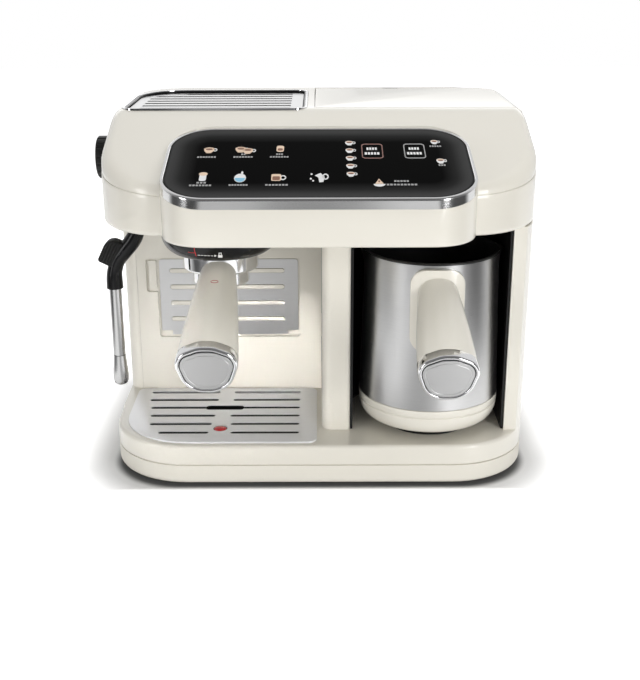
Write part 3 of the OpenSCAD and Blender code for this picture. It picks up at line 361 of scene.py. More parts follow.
# colour, roughness, bump, grain scale, colour drift, smudges, and the shader's own values
mouldedLooks = {
    "creamGloss": (cream, 0.30, 0.03, 500.0, 0.02, 0.05, {"Coat Weight": 0.7, "Coat Roughness": 0.09, "IOR": 1.5}),
    "creamSatin": (cream, 0.48, 0.10, 1400.0, 0.03),
    "blackGloss": ((0.004, 0.004, 0.0045), 0.20, 0.02, 600.0, 0.10, 0.06, {"Specular IOR Level": 0.3}),
    "blackSatin": ((0.007, 0.007, 0.007), 0.42, 0.12, 1600.0, 0.15, 0.06, dull),
    "blackCoating": ((0.010, 0.010, 0.010), 0.34, 0.08, 2200.0, 0.2, 0.1),
    "rubber": ((0.007, 0.007, 0.007), 0.60, 0.22, 2000.0, 0.2, 0.1, dull),
    "whitePlastic": ((0.74, 0.74, 0.71), 0.42, 0.08, 1400.0),
    "redPlastic": ((0.50, 0.012, 0.018), 0.22, 0.03, 700.0, 0.08, 0.04,
                   {"Coat Weight": 0.5, "Coat Roughness": 0.08}),
    "printWhite": ((0.80, 0.80, 0.78), 0.45, 0.02, 900.0, 0.10),
    "printRed": ((0.45, 0.02, 0.02), 0.45, 0.02, 900.0, 0.10),
    "boardGreen": ((0.03, 0.16, 0.07), 0.4, 0.15, 2600.0, 0.3),
    "meterBlue": ((0.04, 0.06, 0.22), 0.4, 0.1, 1500.0, 0.1),
    "hoseSilicone": ((0.66, 0.66, 0.60), 0.38, 0.04, 900.0, 0.06, 0.05,
                     {"Subsurface Weight": 0.15, "Subsurface Radius": (0.004, 0.004, 0.003)}),
    "pumpPaint": ((0.60, 0.60, 0.57), 0.38, 0.12, 1800.0, 0.1),
    "castMetal": ((0.52, 0.51, 0.49), 0.46, 0.35, 1300.0, 0.12, 0.1, metal),
    "brass": ((0.58, 0.42, 0.16), 0.28, 0.08, 1500.0, 0.1, 0.08, metal),
    "copper": ((0.62, 0.28, 0.14), 0.30, 0.08, 1500.0, 0.1, 0.08, metal),
    "chrome": ((0.80, 0.80, 0.81), 0.10, 0.01, 300.0, 0.03, 0.05, metal),
    "rimSteel": ((0.74, 0.74, 0.74), 0.13, 0.0, 300.0, 0.02, 0.03, metal),
    "screwZinc": ((0.45, 0.45, 0.47), 0.35, 0.1, 1500.0, 0.1, 0.1, metal),
}
# colour, line scale, roughness, contrast, bump, lines in the gloss, metallic
brushedLooks = {
    "potSteel": ((0.57, 0.57, 0.57), (45, 45, 1900), 0.30, 0.16, 0.02, 0.08),
    "plateSteel": ((0.66, 0.66, 0.66), (12, 12, 1800), 0.36, 0.10, 0.05),
    "gridSteel": ((0.86, 0.86, 0.87), (12, 1700, 12), 0.36, 0.10, 0.05, 0.16, 0.35),
    "discSteel": ((0.62, 0.62, 0.62), (14, 1900, 1900), 0.42, 0.08, 0.05),
    "tubeSteel": ((0.50, 0.50, 0.50), (700, 700, 14), 0.16, 0.08, 0.03, 0.08),
}
iconColours = {"White": (0.80, 0.80, 0.80), "Cream": (0.80, 0.60, 0.44), "Coffee": (0.20, 0.075, 0.03),
               "Blue": (0.20, 0.52, 0.72), "Grey": (0.34, 0.34, 0.34), "Rose": (0.22, 0.10, 0.08)}
finish = {}
for name, values in mouldedLooks.items():
    finish[name] = moulded(name, *values)
for name, values in brushedLooks.items():
    finish[name] = brushed(name, *values)
for name, colour in iconColours.items():
    finish["icon" + name] = moulded("icon" + name, colour, 0.4, 0.02, 900.0, 0.05)


def clearPlastic(name):
    material, tree, surface = newMaterial(name, {
        "Base Color": (0.80, 0.86, 0.88, 1), "Transmission Weight": 0.92, "IOR": 1.49})
    source = addNode(tree, "Group", {"Roughness": 0.10, "Smudge": 0.10, "Grain Scale": 400.0},
                     node_tree=mouldGroup)
    tree.links.new(source.outputs["Roughness"], surface["Roughness"])
    return material


# black glass that turns grey towards its edge
def greyEdgedGlass(name):
    material, tree, surface = newMaterial(name, {"Roughness": 0.08, "IOR": 1.035})
    edge = addNode(tree, "Attribute", attribute_name="edgeFade").outputs["Fac"]
    speckle = maths(tree, "MULTIPLY", noise(tree, placed(tree), 900.0, 2.0), 0.16)
    amount = maths(tree, "MULTIPLY", edge, maths(tree, "ADD", speckle, 0.92), True)
    tree.links.new(blendColour(tree, amount, grey(0.003), grey(0.066)), surface["Base Color"])
    return material


finish["tankClear"] = clearPlastic("tankClear")
finish["panelGlass"] = greyEdgedGlass("panelGlass")
print("materials made:", len(finish))

nodeLooks = {
    "rubber": "feet pump_mounts group_gasket wand_grip",
    "creamSatin": "base_pan rear_cover head_floor",
    "creamGloss": "base_shell left_side_panel right_side_panel bay_panel pillar_trim head_shell nose_shell "
                  "tank_lid filter_handle pot_base pot_bracket pot_handle",
    "screwZinc": "case_screws",
    "plateSteel": "splash_plate cup_grille shower_screen filter_basket",
    # the drip bin is black to paint the shade seen through the grid's slots
    "blackSatin": "chamber_liner pot_seat tank_socket cable_gland wand_socket steam_knob drip_bin",
    "chrome": "grille_pan filter_holder filter_spout filter_ring pot_ring",
    "blackGloss": "group_collar wand_arm",
    "boardGreen": "touch_board control_board",
    "gridSteel": "drip_grid",
    "whitePlastic": "tank_shelf",
    "pumpPaint": "pump",
    "castMetal": "thermoblock group_head",
    "meterBlue": "flow_meter",
    "hoseSilicone": "suction_hose pressure_hose",
    "copper": "steam_pipes",
    "brass": "steam_valve",
    "tankClear": "water_tank",
    "tubeSteel": "wand_tube wand_tip",
    "discSteel": "filter_disc pot_disc",
    "potSteel": "pot_shell",
    "blackCoating": "pot_liner",
    "redPlastic": "drip_float",
    "rimSteel": "display_bezel",
    "panelGlass": "display_glass",
}
lookOf = {name: look for look, names in nodeLooks.items() for name in names.split()}
for name, obj in nodes.items():
    obj.data.materials.clear()
    obj.data.materials.append(finish[lookOf[name]])
    for polygon in obj.data.polygons:
        polygon.material_index = 0
print("solids dressed:", len(nodes))

view = {"place": (0.0006, -0.9845, 0.432), "tiltDown": 19.5, "roll": 0.15, "lens": 58.24, "sensor": 36.0}
camera = newObject("camera", bpy.data.cameras.new("camera"))
camera.location = view["place"]
camera.rotation_euler = (Matrix.Rotation(radians(90 - view["tiltDown"]), 4, "X")
                         @ Matrix.Rotation(radians(-view["roll"]), 4, "Z")).to_euler()
camera.data.sensor_fit = "VERTICAL"
camera.data.sensor_height = view["sensor"]
camera.data.lens = view["lens"]
camera.data.clip_end = 30
bpy.context.scene.view_settings.view_transform = "Standard"
bpy.context.scene.camera = camera

# strengths and tones of room and floor, with the floor's painted contact shadow; the floor's fades are distances in
# metres
light = {"sky": 0.29, "behind": 1.0, "front": 0.22, "turn": (-0.35, 0.55), "floorGlow": 0.80,
         "floorFade": (0.003, 0.050), "frontFade": (-0.149, -0.1405), "baseHalf": (0.12, 0.08, 0),
         "baseCorner": 0.06, "paintedShadowReach": (-0.003, 0.006), "paintedShadowTone": 0.16, "floorTones": (0.90, 0.93),
         "nearTone": 0.70, "farTone": 0.52, "farFade": (-1.0, -0.6), "behindFade": (-0.20, 0.10),
         "mirrorBands": ((0.0, 0.54), (0.09, 0.60), (0.20, 1.0), (0.42, 1.0), (0.56, 0.10), (1.0, 0.10))}


# The camera sees white; reflections see a bright wall behind the machine and a darker room in front.
def makeWorld():
    world = bpy.data.worlds.new("studio")
    bpy.context.scene.world = world
    world.use_nodes = True
    tree = world.node_tree
    tree.nodes.clear()
    way = addNode(tree, "SeparateXYZ", {0: addNode(tree, "TexCoord").outputs["Generated"]})
    room = mapped(tree, way.outputs["Y"], *light["turn"], light["front"], light["behind"])
    isCamera, isMirror = lookers(tree)
    shown = addNode(tree, "Background", {"Strength": light["sky"]}).outputs[0]
    for ray, values in ((isMirror, {"Strength": room}),
                        (isCamera, {"Color": grey(1), "Strength": 1.0})):
        other = addNode(tree, "Background", values).outputs[0]
        shown = addNode(tree, "MixShader", {0: ray, 1: shown, 2: other}).outputs[0]
    addNode(tree, "OutputWorld", {0: shown})


def makeFloor():
    floor = makePiece("floor", [(-3000, -2600, 0), (3000, -2600, 0), (3000, 3400, 0), (-3000, 3400, 0)],
                      [(0, 1, 2, 3)])
    material, tree, surface = newMaterial("paleFloor", {
        "Roughness": 0.6, "Specular IOR Level": 0.2, "Emission Color": (1, 1, 1, 1)})
    where = placed(tree)
    parts = addNode(tree, "SeparateXYZ", {0: where}).outputs
    # how far a point is from the base's own rounded outline
    far = where
    for operation, value in (("ABSOLUTE", {}), ("SUBTRACT", {1: light["baseHalf"]}),
                             ("MAXIMUM", {1: (0, 0, 0)}), ("LENGTH", {})):
        step = addNode(tree, "VectorMath", {0: far} | value, operation=operation)
        far = step.outputs["Value" if operation == "LENGTH" else "Vector"]

    def reach(key, high):
        return mapped(tree, far, *(light["baseCorner"] + distance for distance in light[key]), 0.0, high)
    # the shadow is wide at the sides and thin along the front; outside it the floor runs to white
    ahead = mapped(tree, parts["Y"], *light["frontFade"], light["floorGlow"], 0.0)
    fade = maths(tree, "MAXIMUM", reach("floorFade", light["floorGlow"]), ahead)
    spread = blendColour(tree, noise(tree, where, 3.0, 2.0), *(grey(tone) for tone in light["floorTones"]))
    # painted contact shadow: the floor's own colour turns dark grey right at the base's outline
    spread = blendColour(tree, reach("paintedShadowReach", 1.0), grey(light["paintedShadowTone"]), spread)
    # mirrors see grey and dark bands on the floor in front of the machine
    bands = addNode(tree, "ValToRGB", {"Fac": maths(tree, "ABSOLUTE", parts["X"])})
    ramp = bands.color_ramp
    ramp.interpolation = "EASE"
    while len(ramp.elements) < len(light["mirrorBands"]):
        ramp.elements.new(0.5)
    for element, (position, tone) in zip(ramp.elements, light["mirrorBands"]):
        element.position, element.color = position, grey(tone)
    near = mapped(tree, parts["Y"], *light["farFade"], light["farTone"], 1.0, "LINEAR")
    behind = mapped(tree, parts["Y"], *light["behindFade"], style="LINEAR")
    mirrored = blendColour(tree, 1.0, bands.outputs["Color"], near, "MULTIPLY")
    mirrored = blendColour(tree, behind, mirrored, grey(light["floorTones"][1]))
    isCamera, isMirror = lookers(tree)
    tree.links.new(blendColour(tree, isMirror, spread, mirrored), surface["Base Color"])
    seen = maths(tree, "MULTIPLY", maths(tree, "POWER", mirrored, 2.0), light["nearTone"])
    glow = maths(tree, "ADD", isCamera, maths(tree, "MULTIPLY", isMirror, seen))
    tree.links.new(maths(tree, "MULTIPLY", glow, fade), surface["Emission Strength"])
    floor.data.materials.append(material)


# place, aim, size, watts, whether mirrors see it, spread in degrees
lamps = {
    "topLamp": ((0.1, 0.25, 1.5), (0, 0.05, 0.2), (1.5, 1.0), 11.8, False),
    "frontLamp": ((0.34, -1.7, 0.29), (0.02, 0, 0.12), (1.4, 0.4), 5.7, False),
    "lowLamp": ((-0.55, -1.0, 0.12), (-0.08, 0, 0.09), (0.5, 0.15), 1.2, False),
    "rightLamp": ((1.0, -1.4, 0.45), (0.1, 0, 0.15), (0.35, 1.1), 10.0, True),
    "leftLamp": ((-1.3, -1.0, 0.3), (-0.1, 0, 0.15), (0.35, 1.1), 5.4, True),
    "backLamp": ((0.0, 1.3, 0.72), (0, 0, 0.3), (1.8, 0.5), 2.1, True),
    "bayLamp": ((-0.60, -0.75, 0.35), (-0.05, -0.02, 0.08), (0.10, 0.08), 0.043, False, 12),
}


def addLamp(name, place, aim, size, watts, mirrored, spread=180):
    lamp = bpy.data.lights.new(name, "AREA")
    lamp.shape = "RECTANGLE"
    lamp.size, lamp.size_y = size
    lamp.energy = watts
    lamp.spread = radians(spread)
    obj = newObject(name, lamp)
    obj.location = place
    obj.rotation_euler = (Vector(aim) - Vector(place)).to_track_quat("-Z", "Y").to_euler()
    obj.visible_camera = False
    obj.visible_glossy = mirrored


makeWorld()
makeFloor()
for name, values in lamps.items():
    addLamp(name, *values)
print("camera, lamps and floor set")

head = {"low": (-180, -140), "high": (180, 140), "corners": (67, 55), "underside": 219.0, "deck": 303.0,
        "blendAt": -9.12, "blendRadius": 60.0, "slopeAt": (-30.19, 299.18), "slope": 0.375,
        "seam": (251.4, 0.17), "edge": (5.7, 11.0), "wall": 2.5, "bottomEdge": 4.0,
        "seamRings": ((0, -3.0), (0, -0.8), (0.25, -0.25), (0.9, -0.2), (0.95, 0.3), (0.5, 0.35), (0.35, 0.6)),
        "thickTop": ((-6, -15.5, 294.5), (400, 135, 400)), "tankWell": ((12.5, 12.5), (165.5, 123.5), 13.5),
        "latch": ((63.5, 121, 200), (78.5, 132.4, 400)), "gap": 0.2, "lidSeat": 297.5,
        "lidCut": ((-3.8, -13.3), (400, 132.3), (5.8, 1, 1, 1)), "warmerCut": 263,
        "knobHole": (5.5, 12, (-0.18, 0.005, 0.257))}


def deckHeight(y):
    if y >= head["blendAt"]:
        return head["deck"]
    if y >= head["slopeAt"][0]:
        radius = head["blendRadius"]
        return head["deck"] - radius + sqrt(radius ** 2 - (y - head["blendAt"]) ** 2)
    return head["slopeAt"][1] + (y - head["slopeAt"][0]) * head["slope"]


def seamHeight(y):
    return head["seam"][0] + head["seam"][1] * (y + 140)


def deckEdge(y):
    low, high = head["edge"]
    return min(max(deckHeight(y) - seamHeight(y) - 0.9, low), high)


# Rings of the head's form; a form that is set in starts at its own underside and has no seam.
def headRings(setIn=0.0, underside=None):
    outline = plan(head["low"], head["high"], head["corners"], 14, 26)
    if underside is None:
        r, cover = head["bottomEdge"], head["seamRings"][-1][0]
        rings = [planRing(outline, x, z) for x, z in arc(r, head["underside"] + r, r, 270, 180, 5)]
        for inset, rise in head["seamRings"]:
            rings.append(planRing(outline, inset, lambda y: seamHeight(y) + rise))
    else:
        cover = setIn
        rings = [planRing(outline, setIn, underside)]

    def edge(y):
        return max(deckEdge(y) - setIn, 1)
    for i in range(10):
        a = radians(10 * i)
        rings.append(planRing(outline, lambda y: cover + edge(y) * (1 - cos(a)),
                              lambda y: deckHeight(y) - setIn - edge(y) * (1 - sin(a))))
    return rings


nose = {"low": (-123.5, -175), "high": (123.5, -49), "corner": 37, "underside": 219.0, "panelFront": 257.0,
        "panelTilt": 15.0, "bandDepth": 8.2, "wall": 2.5, "bottomEdge": 2.4, "behind": -133.5,
        "underHead": 6.5, "floorCut": ((-300, -140.2, 200), (300, 100, 221.7)),
        "rim": ((0, -8.075), (0, -1.8), (0, -1.2), (0.35, -0.35), (1.2, 0), (2.2, 0), (2.6, -0.4), (2.6, -3.4),
                (5.6, -3.4), (5.6, -8.075)),
        "glass": ((2.8, -3.35), (2.8, -0.6), (3.0, -0.414), (5, -0.414), (9, -0.414), (16, -0.414),
                  (27, -0.414)),
        "fade": (0.1, 0.1, 0.3, 0.9, 0.75, 0.30, 0.0)}
noseOutline = plan(nose["low"], nose["high"], (nose["corner"], nose["corner"]), 12, 8)
warmer = {"low": (-172, -21), "high": (-10, 114), "corners": (12, 12, 12, 45), "top": 303.6, "floor": 294.5,
          "rim": 2.2, "plate": (4.2, 300.2, 300.7),
          "slots": {"count": 7, "first": -2.0, "pitch": 16.4, "width": 6.4, "inset": 13.5, "right": -25}}
warmerOutline = cornerPlan(warmer["low"], warmer["high"], warmer["corners"], 10)


def makeHead():
    piece = ringPiece("headCover", headRings(), ends="strips")
    inner = ringPiece("tool", headRings(head["wall"], 210), ends="strips")
    carve(inner, [slab(*head["thickTop"])])
    radius, reach, place = head["knobHole"]
    knobHole = lathe("tool", ((radius, -reach), (radius, reach)), closed=False, steps=48)
    knobHole.data.transform(Matrix.Translation(place) @ Matrix.Rotation(radians(90), 4, "Y"))
    carve(piece, [inner, roundSlot(*head["tankWell"], 200, 400, 8), slab(*head["latch"]),
                  prism(cornerPlan(*head["lidCut"], 6), head["lidSeat"], 400),
                  prism(noseOutline, 200, 400, -head["gap"]),
                  prism(warmerOutline, head["warmerCut"], 400, -head["gap"]), knobHole], creaseAngle=38)
    dress(piece, "machine", "head_shell")


makeHead()
print("head built")


def panelHeight(y, drop=0.0):
    return nose["panelFront"] + (y - nose["low"][1]) * tan(radians(nose["panelTilt"])) + drop


# Rings of the nose's outline, set in and dropped from the panel's plane.
def panelRings(profile):
    return [planRing(noseOutline, inset, lambda y: panelHeight(y, drop)) for inset, drop in profile]


def makeNose():
    r, wall, bottom, band = nose["bottomEdge"], nose["wall"], nose["underside"], -nose["bandDepth"]
    rings = [planRing(noseOutline, x, z) for x, z in arc(r, bottom + r, r, 270, 180, 4)]
    rings += panelRings(((0, band - 0.4), (0.3, band), (wall, band)))
    rings.append(planRing(noseOutline, wall, bottom))
    piece = ringPiece("noseBand", rings, closed=True)
    # the walls end under the head's own skin
    inner = ringPiece("tool", headRings(nose["underHead"], 200), ends="strips")
    carve(inner, [slab((-300, -400, 150), (300, nose["behind"], 400))])
    carve(piece, [inner, slab(*nose["floorCut"])])
    dress(piece, "machine", "nose_shell")

    rim = ringPiece("panelRim", panelRings(nose["rim"]), closed=True, creaseAngle=40)
    dress(rim, "machine", "display_bezel")
    glass = ringPiece("panelGlass", panelRings(nose["glass"]), ends="strips", creaseAngle=40)
    # how near each point is to the glass's edge, for the grey edge fade
    fade = glass.data.attributes.new("edgeFade", "FLOAT", "POINT")
    for k, item in enumerate(fade.data):
        item.value = nose["fade"][k // len(noseOutline)]
    dress(glass, "machine", "display_glass")


makeNose()
print("nose built")

base = {"panBottom": 3.0, "panTop": 20.5, "deck": 38.0, "bottomEdge": 4.0, "topEdge": 3.2, "wall": 2.5,
        "tray": ((-169.5, -133), (-3.5, -13), (57, 7, 7, 7)), "well": ((15.0, 36.5, -2.8), (17.0, 60, -0.3)),
        "lip": {"plain": 0.4, "fade": 9, "stops": (-46, -110)},
        "foot": (134, 94), "footHole": (9.3, 1, 5), "boss": (4.5, 4, 20.4), "screwHole": (1.9, 1, 30),
        "screwHead": (3.4, 1, 7),
        "vents": {"count": 10, "first": -54, "pitch": 12, "half": 2, "from": 28, "to": 72},
        "screws": [(sx * 100, y) for sx in (-1, 1) for y in (4, 126)] + [(18, -124), (100, -124)]}
bodyOutline = plan((-180, -140), (180, 140), (67, 55), 14, 12)


def makePan():
    r, top = base["bottomEdge"], base["panTop"]
    profile = arc(r, base["panBottom"] + r, r, 270, 180, 6)
    profile += [(0, top - 1.0), (0.3, top - 0.65), (1.6, top - 0.6), (1.6, top)]
    piece = stacked("baseTub", bodyOutline, profile)
    carve(piece, [prism(bodyOutline, base["panBottom"] + base["wall"], 60, base["wall"])])
    carve(piece, [pillar(x, y, *base["boss"]) for x, y in base["screws"]], "UNION")
    fx, fy = base["foot"]
    tools = [pillar(sx * fx, sy * fy, *base["footHole"]) for sx in (-1, 1) for sy in (-1, 1)]
    for x, y in base["screws"]:
        tools += [pillar(x, y, *base["screwHole"]), pillar(x, y, *base["screwHead"])]
    vents = base["vents"]
    for k in range(vents["count"]):
        x = vents["first"] + vents["pitch"] * k
        tools.append(roundSlot((x - vents["half"], vents["from"]), (x + vents["half"], vents["to"]),
                               vents["half"] * 0.95, 1, 9, 4))
    carve(piece, tools)
    dress(piece, "machine", "base_pan")


def makeDeck():
    lip = base["lip"]

    def lipRing(a):
        ring = []
        for x, y, nx, ny in bodyOutline:
            stop = lip["stops"][x >= 0]        # a wall stands on the edge behind this
            r = lip["plain"] + (base["topEdge"] - lip["plain"]) * min(max((stop - y) / lip["fade"], 0), 1)
            across, down = 1 - cos(a), 1 - sin(a)
            ring.append((x - nx * r * across, y - ny * r * across, base["deck"] - r * down))
        return ring
    rings = [planRing(bodyOutline, inset, base["panTop"] + rise)
             for inset, rise in ((1.6, 0), (1.6, 0.2), (0.3, 0.25), (0, 0.6))]
    piece = ringPiece("baseDeck", rings + [lipRing(radians(15 * i)) for i in range(7)], ends="strips")
    carve(piece, [prism(bodyOutline, 5, base["deck"] - base["wall"], base["wall"])])
    tray = cornerPlan(*base["tray"], 12)
    for heights, operation in zip(base["well"], ("UNION", "DIFFERENCE")):
        carve(piece, [prism(tray, *heights)], operation)
    dress(piece, "machine", "base_shell")


makePan()
makeDeck()
print("base built")

group = {"centre": (-83.5, -79.5), "groove": (36.3, 199.2, 204.3), "notch": (30, 36.8, 13, 190, 204),
         "lug": (30, 36, 10, 199.5, 204), "lockTurn": 42, "markRadius": 48.0,
         "bowl": ((32.3, 194), (40.4, 194.2), (45.2, 197.6), (48.6, 203.5), (49.9, 211), (50, 219), (32.3, 219)),
         "rounding": (0, 0.6, 3.0, 4.0, 4.0, 0, 0),
         "holder": ((32, 206), (32, 180), (30.4, 178.6), (24.6, 178.4), (24, 177.6), (24, 167), (22.4, 165.5),
                    (4, 165.5), (4, 168), (21, 168), (21, 180.5), (28.2, 180.5), (28.2, 206)),
         "holderRounding": (0.3, 1.2, 0.5, 0.4, 0.4, 1.2, 0.5, 0.3, 0.3, 0, 0, 0.3, 0.3)}
bowlProfile = roundedProfile(group["bowl"], group["rounding"], 5)


def sector(middle, radiusIn, radiusOut, half, z0, z1):
    x, y = group["centre"]
    turns = [radians(middle - half + 2 * half * i / 8) for i in range(9)]
    return prism([(x + r * cos(a), y + r * sin(a), 0, 0)
                  for r, side in ((radiusIn, turns), (radiusOut, turns[::-1])) for a in side], z0, z1)


def makeCollar():
    piece = lathe("groupBowl", bowlProfile, group["centre"], 128)
    r, z0, z1 = group["groove"]
    carve(piece, [pillar(*group["centre"], r, z0, z1, 128)]
          + [sector(turn - group["lockTurn"], *group["notch"]) for turn in (0, 180)])
    dress(piece, "machine", "group_collar")


# Flat marks printed on a surface: place puts an outline's points at each lift above it.
def makeMarks(name, outlines, place, lifts, look, bottoms=False):
    points, faces = [], []
    for outline in outlines:
        n, start = len(outline), len(points)
        points += [place(a, b, lift) for lift in lifts for a, b in outline]
        faces.append(tuple(start + n + k for k in range(n)))
        if bottoms:
            faces.append(tuple(start + k for k in reversed(range(n))))
        faces += [(start + k, start + (k + 1) % n, start + n + (k + 1) % n, start + n + k) for k in range(n)]
    dress(makePiece(name, points, faces), "machine", look=look)


# Point of a mark on the bowl: along is measured on the surface from the front.
def onBowl(along, z, lift):
    radius = group["bowl"][-2][0]
    for (r0, z0), (r1, z1) in zip(bowlProfile, bowlProfile[1:]):
        if z0 <= z <= z1 and z1 > z0:
            radius = r0 + (r1 - r0) * (z - z0) / (z1 - z0)
            break
    a = radians(-90) + along / group["markRadius"]
    return (group["centre"][0] + (radius + lift) * cos(a), group["centre"][1] + (radius + lift) * sin(a), z)


# Mark with points close enough together to follow the bowl.
def bar(x0, x1, z0, z1, spacing=1.5):
    count = max(2, int(abs(x1 - x0) / spacing) + 1)
    across = [x0 + (x1 - x0) * i / (count - 1) for i in range(count)]
    return [(x, z1) for x in across] + [(x, z0) for x in reversed(across)]


def makeCollarMarks():
    dashes = [bar(-15 + 2.8 * k, -13 + 2.8 * k, 200.0, 200.5) for k in range(5)]
    arrow = [[(-0.8, 199.2), (1.1, 200.3), (-0.8, 201.4)]]
    lock = [bar(2.2, 5.8, 198.4, 201.0), bar(2.8, 3.3, 201.0, 202.7), bar(4.7, 5.2, 201.0, 202.7),
            bar(2.8, 5.2, 202.6, 203.1)]
    stop = [bar(-23.5, -16.2, 201.9, 202.4)]
    stop += [bar(-17.2, -16.6, 198.8 + 1.2 * k, 200.1 + 1.2 * k) for k in range(8)]
    makeMarks("lockMark", dashes + arrow + lock, onBowl, (0.02, 0.12), "printWhite")
    makeMarks("openMark", stop, onBowl, (0.02, 0.12), "printRed")


def makeHolder():
    piece = lathe("holderCup", roundedProfile(group["holder"], group["holderRounding"], 4), group["centre"], 128)
    carve(piece, [sector(turn, *group["lug"]) for turn in (0, 180)], "UNION")
    dress(piece, "portafilter", "filter_holder")


makeCollar()
makeCollarMarks()
makeHolder()
print("group built")

# what the two handles share, and what each has of its own
cap = {"circles": ((10.75, 4.02, 13), (2, 0.02, 20)), "lean": 11, "length": 11, "rootDepth": 1.5, "swell": 0.9,
       "ring": ((0, -11), (0, -3.0), (0.25, -1.7), (0.9, -0.6), (1.8, -0.05), (2.5, -0.1), (3.0, -0.5),
                (3.2, -1.0), (3.2, -2.5)),
       "gapShade": ((3.0, -2.4), (3.0, -1.3), (3.2, -1.1), (4.5, -1.1), (4.5, -2.4)),
       "disc": ((3.8, -2.5), (3.8, -1.0), (4.1, -0.7), (5.9, -0.7), (6.2, -0.9), (6.5, -0.9), (6.8, -0.7)),
       "discDrop": 0.5, "mark": (-83.7, -139.2, 3.1, 1.75, 0.34), "markLift": 0.00022}
handles = {
    "filter": {"body": "portafilter", "tip": (-84.5, -217, 135.5), "root": (-83.5, -106.5, 183.5),
               "rootCircles": ((1.2, -4.6, 13.6), (4.5, -8, 10)),
               "trim": ((-83.5, -79.5), ((32.15, 100), (32.15, 260)))},
    "pot": {"body": "pot", "tip": (98, -210, 125.9), "root": (95.5, -135.64, 169.3),
            "rootCircles": ((0.8, 2.8, 15.2), (3, -5, 13)),
            "trim": ((95.5, -79.5), ((65.2, 69.3), (61.2, 199.8)))},
}


# Outline round pairs of circles (x, y, radius), mirrored left to right, like a taut band.
def bandOutline(circles, count=96, inset=0.0):
    outline = []
    full = [(s * x, y, r - inset) for x, y, r in circles for s in (-1, 1)]
    for a in round360(count, 0.5):
        n = (cos(a), sin(a))
        x, y, r = max(full, key=lambda c: c[0] * n[0] + c[1] * n[1] + c[2])
        outline.append((x + r * n[0], y + r * n[1]))
    return outline


def atCap(tip, x, y, z):
    a = radians(90 + cap["lean"])
    return (tip[0] + x, tip[1] + y * cos(a) - z * sin(a), tip[2] + y * sin(a) + z * cos(a))


# thin red oval printed on top of the filter handle
def makeTopMark(grip):
    tree = BVHTree.FromPolygons([v.co for v in grip.data.vertices], [p.vertices for p in grip.data.polygons])
    x, y, a, b, line = cap["mark"]
    rings = []
    for shrink, lift in ((0, 0), (0, cap["markLift"]), (line, cap["markLift"]), (line, 0)):
        ring = []
        for turn in round360(36):
            start = Vector((x + (a - shrink) * cos(turn), y + (b - shrink) * sin(turn), 260)) / 1000
            hit = tree.ray_cast(start, Vector((0, 0, -1)))[0]
            ring.append((hit.x * 1000, hit.y * 1000, (hit.z + lift) * 1000))
        rings.append(ring)
    dress(ringPiece("filterTopMark", rings, closed=True), "portafilter", look="printRed")


def makeHandle(kind):
    spec = handles[kind]
    tip, root, body = spec["tip"], Vector(spec["root"]), spec["body"]

    def capRings(profile, drop=0):
        return [[atCap(tip, x, y - drop, z) for x, y in bandOutline(cap["circles"], inset=i)] for i, z in profile]
    ring = ringPiece(kind + "EndRing", capRings(cap["ring"]), creaseAngle=50)
    dress(ring, body, kind + "_ring")
    # black ring under the disc's edge: paints the shade in the gap between the end ring and the disc
    gapShade = ringPiece(kind + "EndGapShade", capRings(cap["gapShade"]), closed=True, creaseAngle=40)
    dress(gapShade, body, look="blackSatin")
    disc = ringPiece(kind + "EndDisc", capRings(cap["disc"], cap["discDrop"]), creaseAngle=30)
    dress(disc, body, kind + "_disc")

    start = [(spec["root"][0] + x, spec["root"][1] - cap["rootDepth"], spec["root"][2] + z)
             for x, z in bandOutline(spec["rootCircles"])]
    end, last = capRings(((0.35, -cap["length"]), (0.9, -cap["length"])))
    middleEnd = Vector(atCap(tip, 0, 0, -cap["length"]))
    steps = 14
    rings = []
    for i in range(steps + 1):
        t = i / steps
        swell = cap["swell"] * sin(pi * t) ** 0.8       # a slight fullness in the middle of the grip
        middle = root.lerp(middleEnd, t)
        points = []
        for a, b in zip(start, end):
            p = Vector(a).lerp(Vector(b), t)
            out = p - middle
            out.y = 0
            points.append(tuple(p + out.normalized() * swell))
        rings.append(points)
    grip = ringPiece(kind + "Grip", rings + [last], creaseAngle=60)
    place, profile = spec["trim"]
    carve(grip, [lathe("tool", profile, place, 128, closed=False)], creaseAngle=60)
    if kind == "filter":
        makeTopMark(grip)
    dress(grip, body, kind + "_handle")


for kind in handles:
    makeHandle(kind)
print("handles built")

pot = {"centre": (95.5, -79.5), "foot": 46.3, "footHeight": 16.0, "footRound": 11, "steel": (69.35, 60.5),
       "rim": (193.75, 56.5), "top": 195.8, "lipReach": 3.2, "lipDepth": 17.0, "lipWidth": 8.5, "steps": 180,
       "sheet": 1.0, "coat": 1.5}


def potRadius(z):
    (z0, r0), (z1, r1) = pot["steel"], pot["rim"]
    return r0 + (r1 - r0) * (z - z0) / (z1 - z0)


# How far the wall bulges at a height towards the two pouring lips, left and right.
def lipBulge(angle, z):
    share = min(max((z - pot["rim"][0] + pot["lipDepth"]) / pot["lipDepth"], 0), 1.1)
    away = degrees(asin(min(abs(sin(angle)), 1))) / pot["lipWidth"]
    return pot["lipReach"] * share ** 1.6 * exp(-away * away)


def potRing(radius, z):
    x, y = pot["centre"]
    return [(x + (radius + lipBulge(a, z)) * cos(a), y + (radius + lipBulge(a, z)) * sin(a), z)
            for a in round360(pot["steps"])]


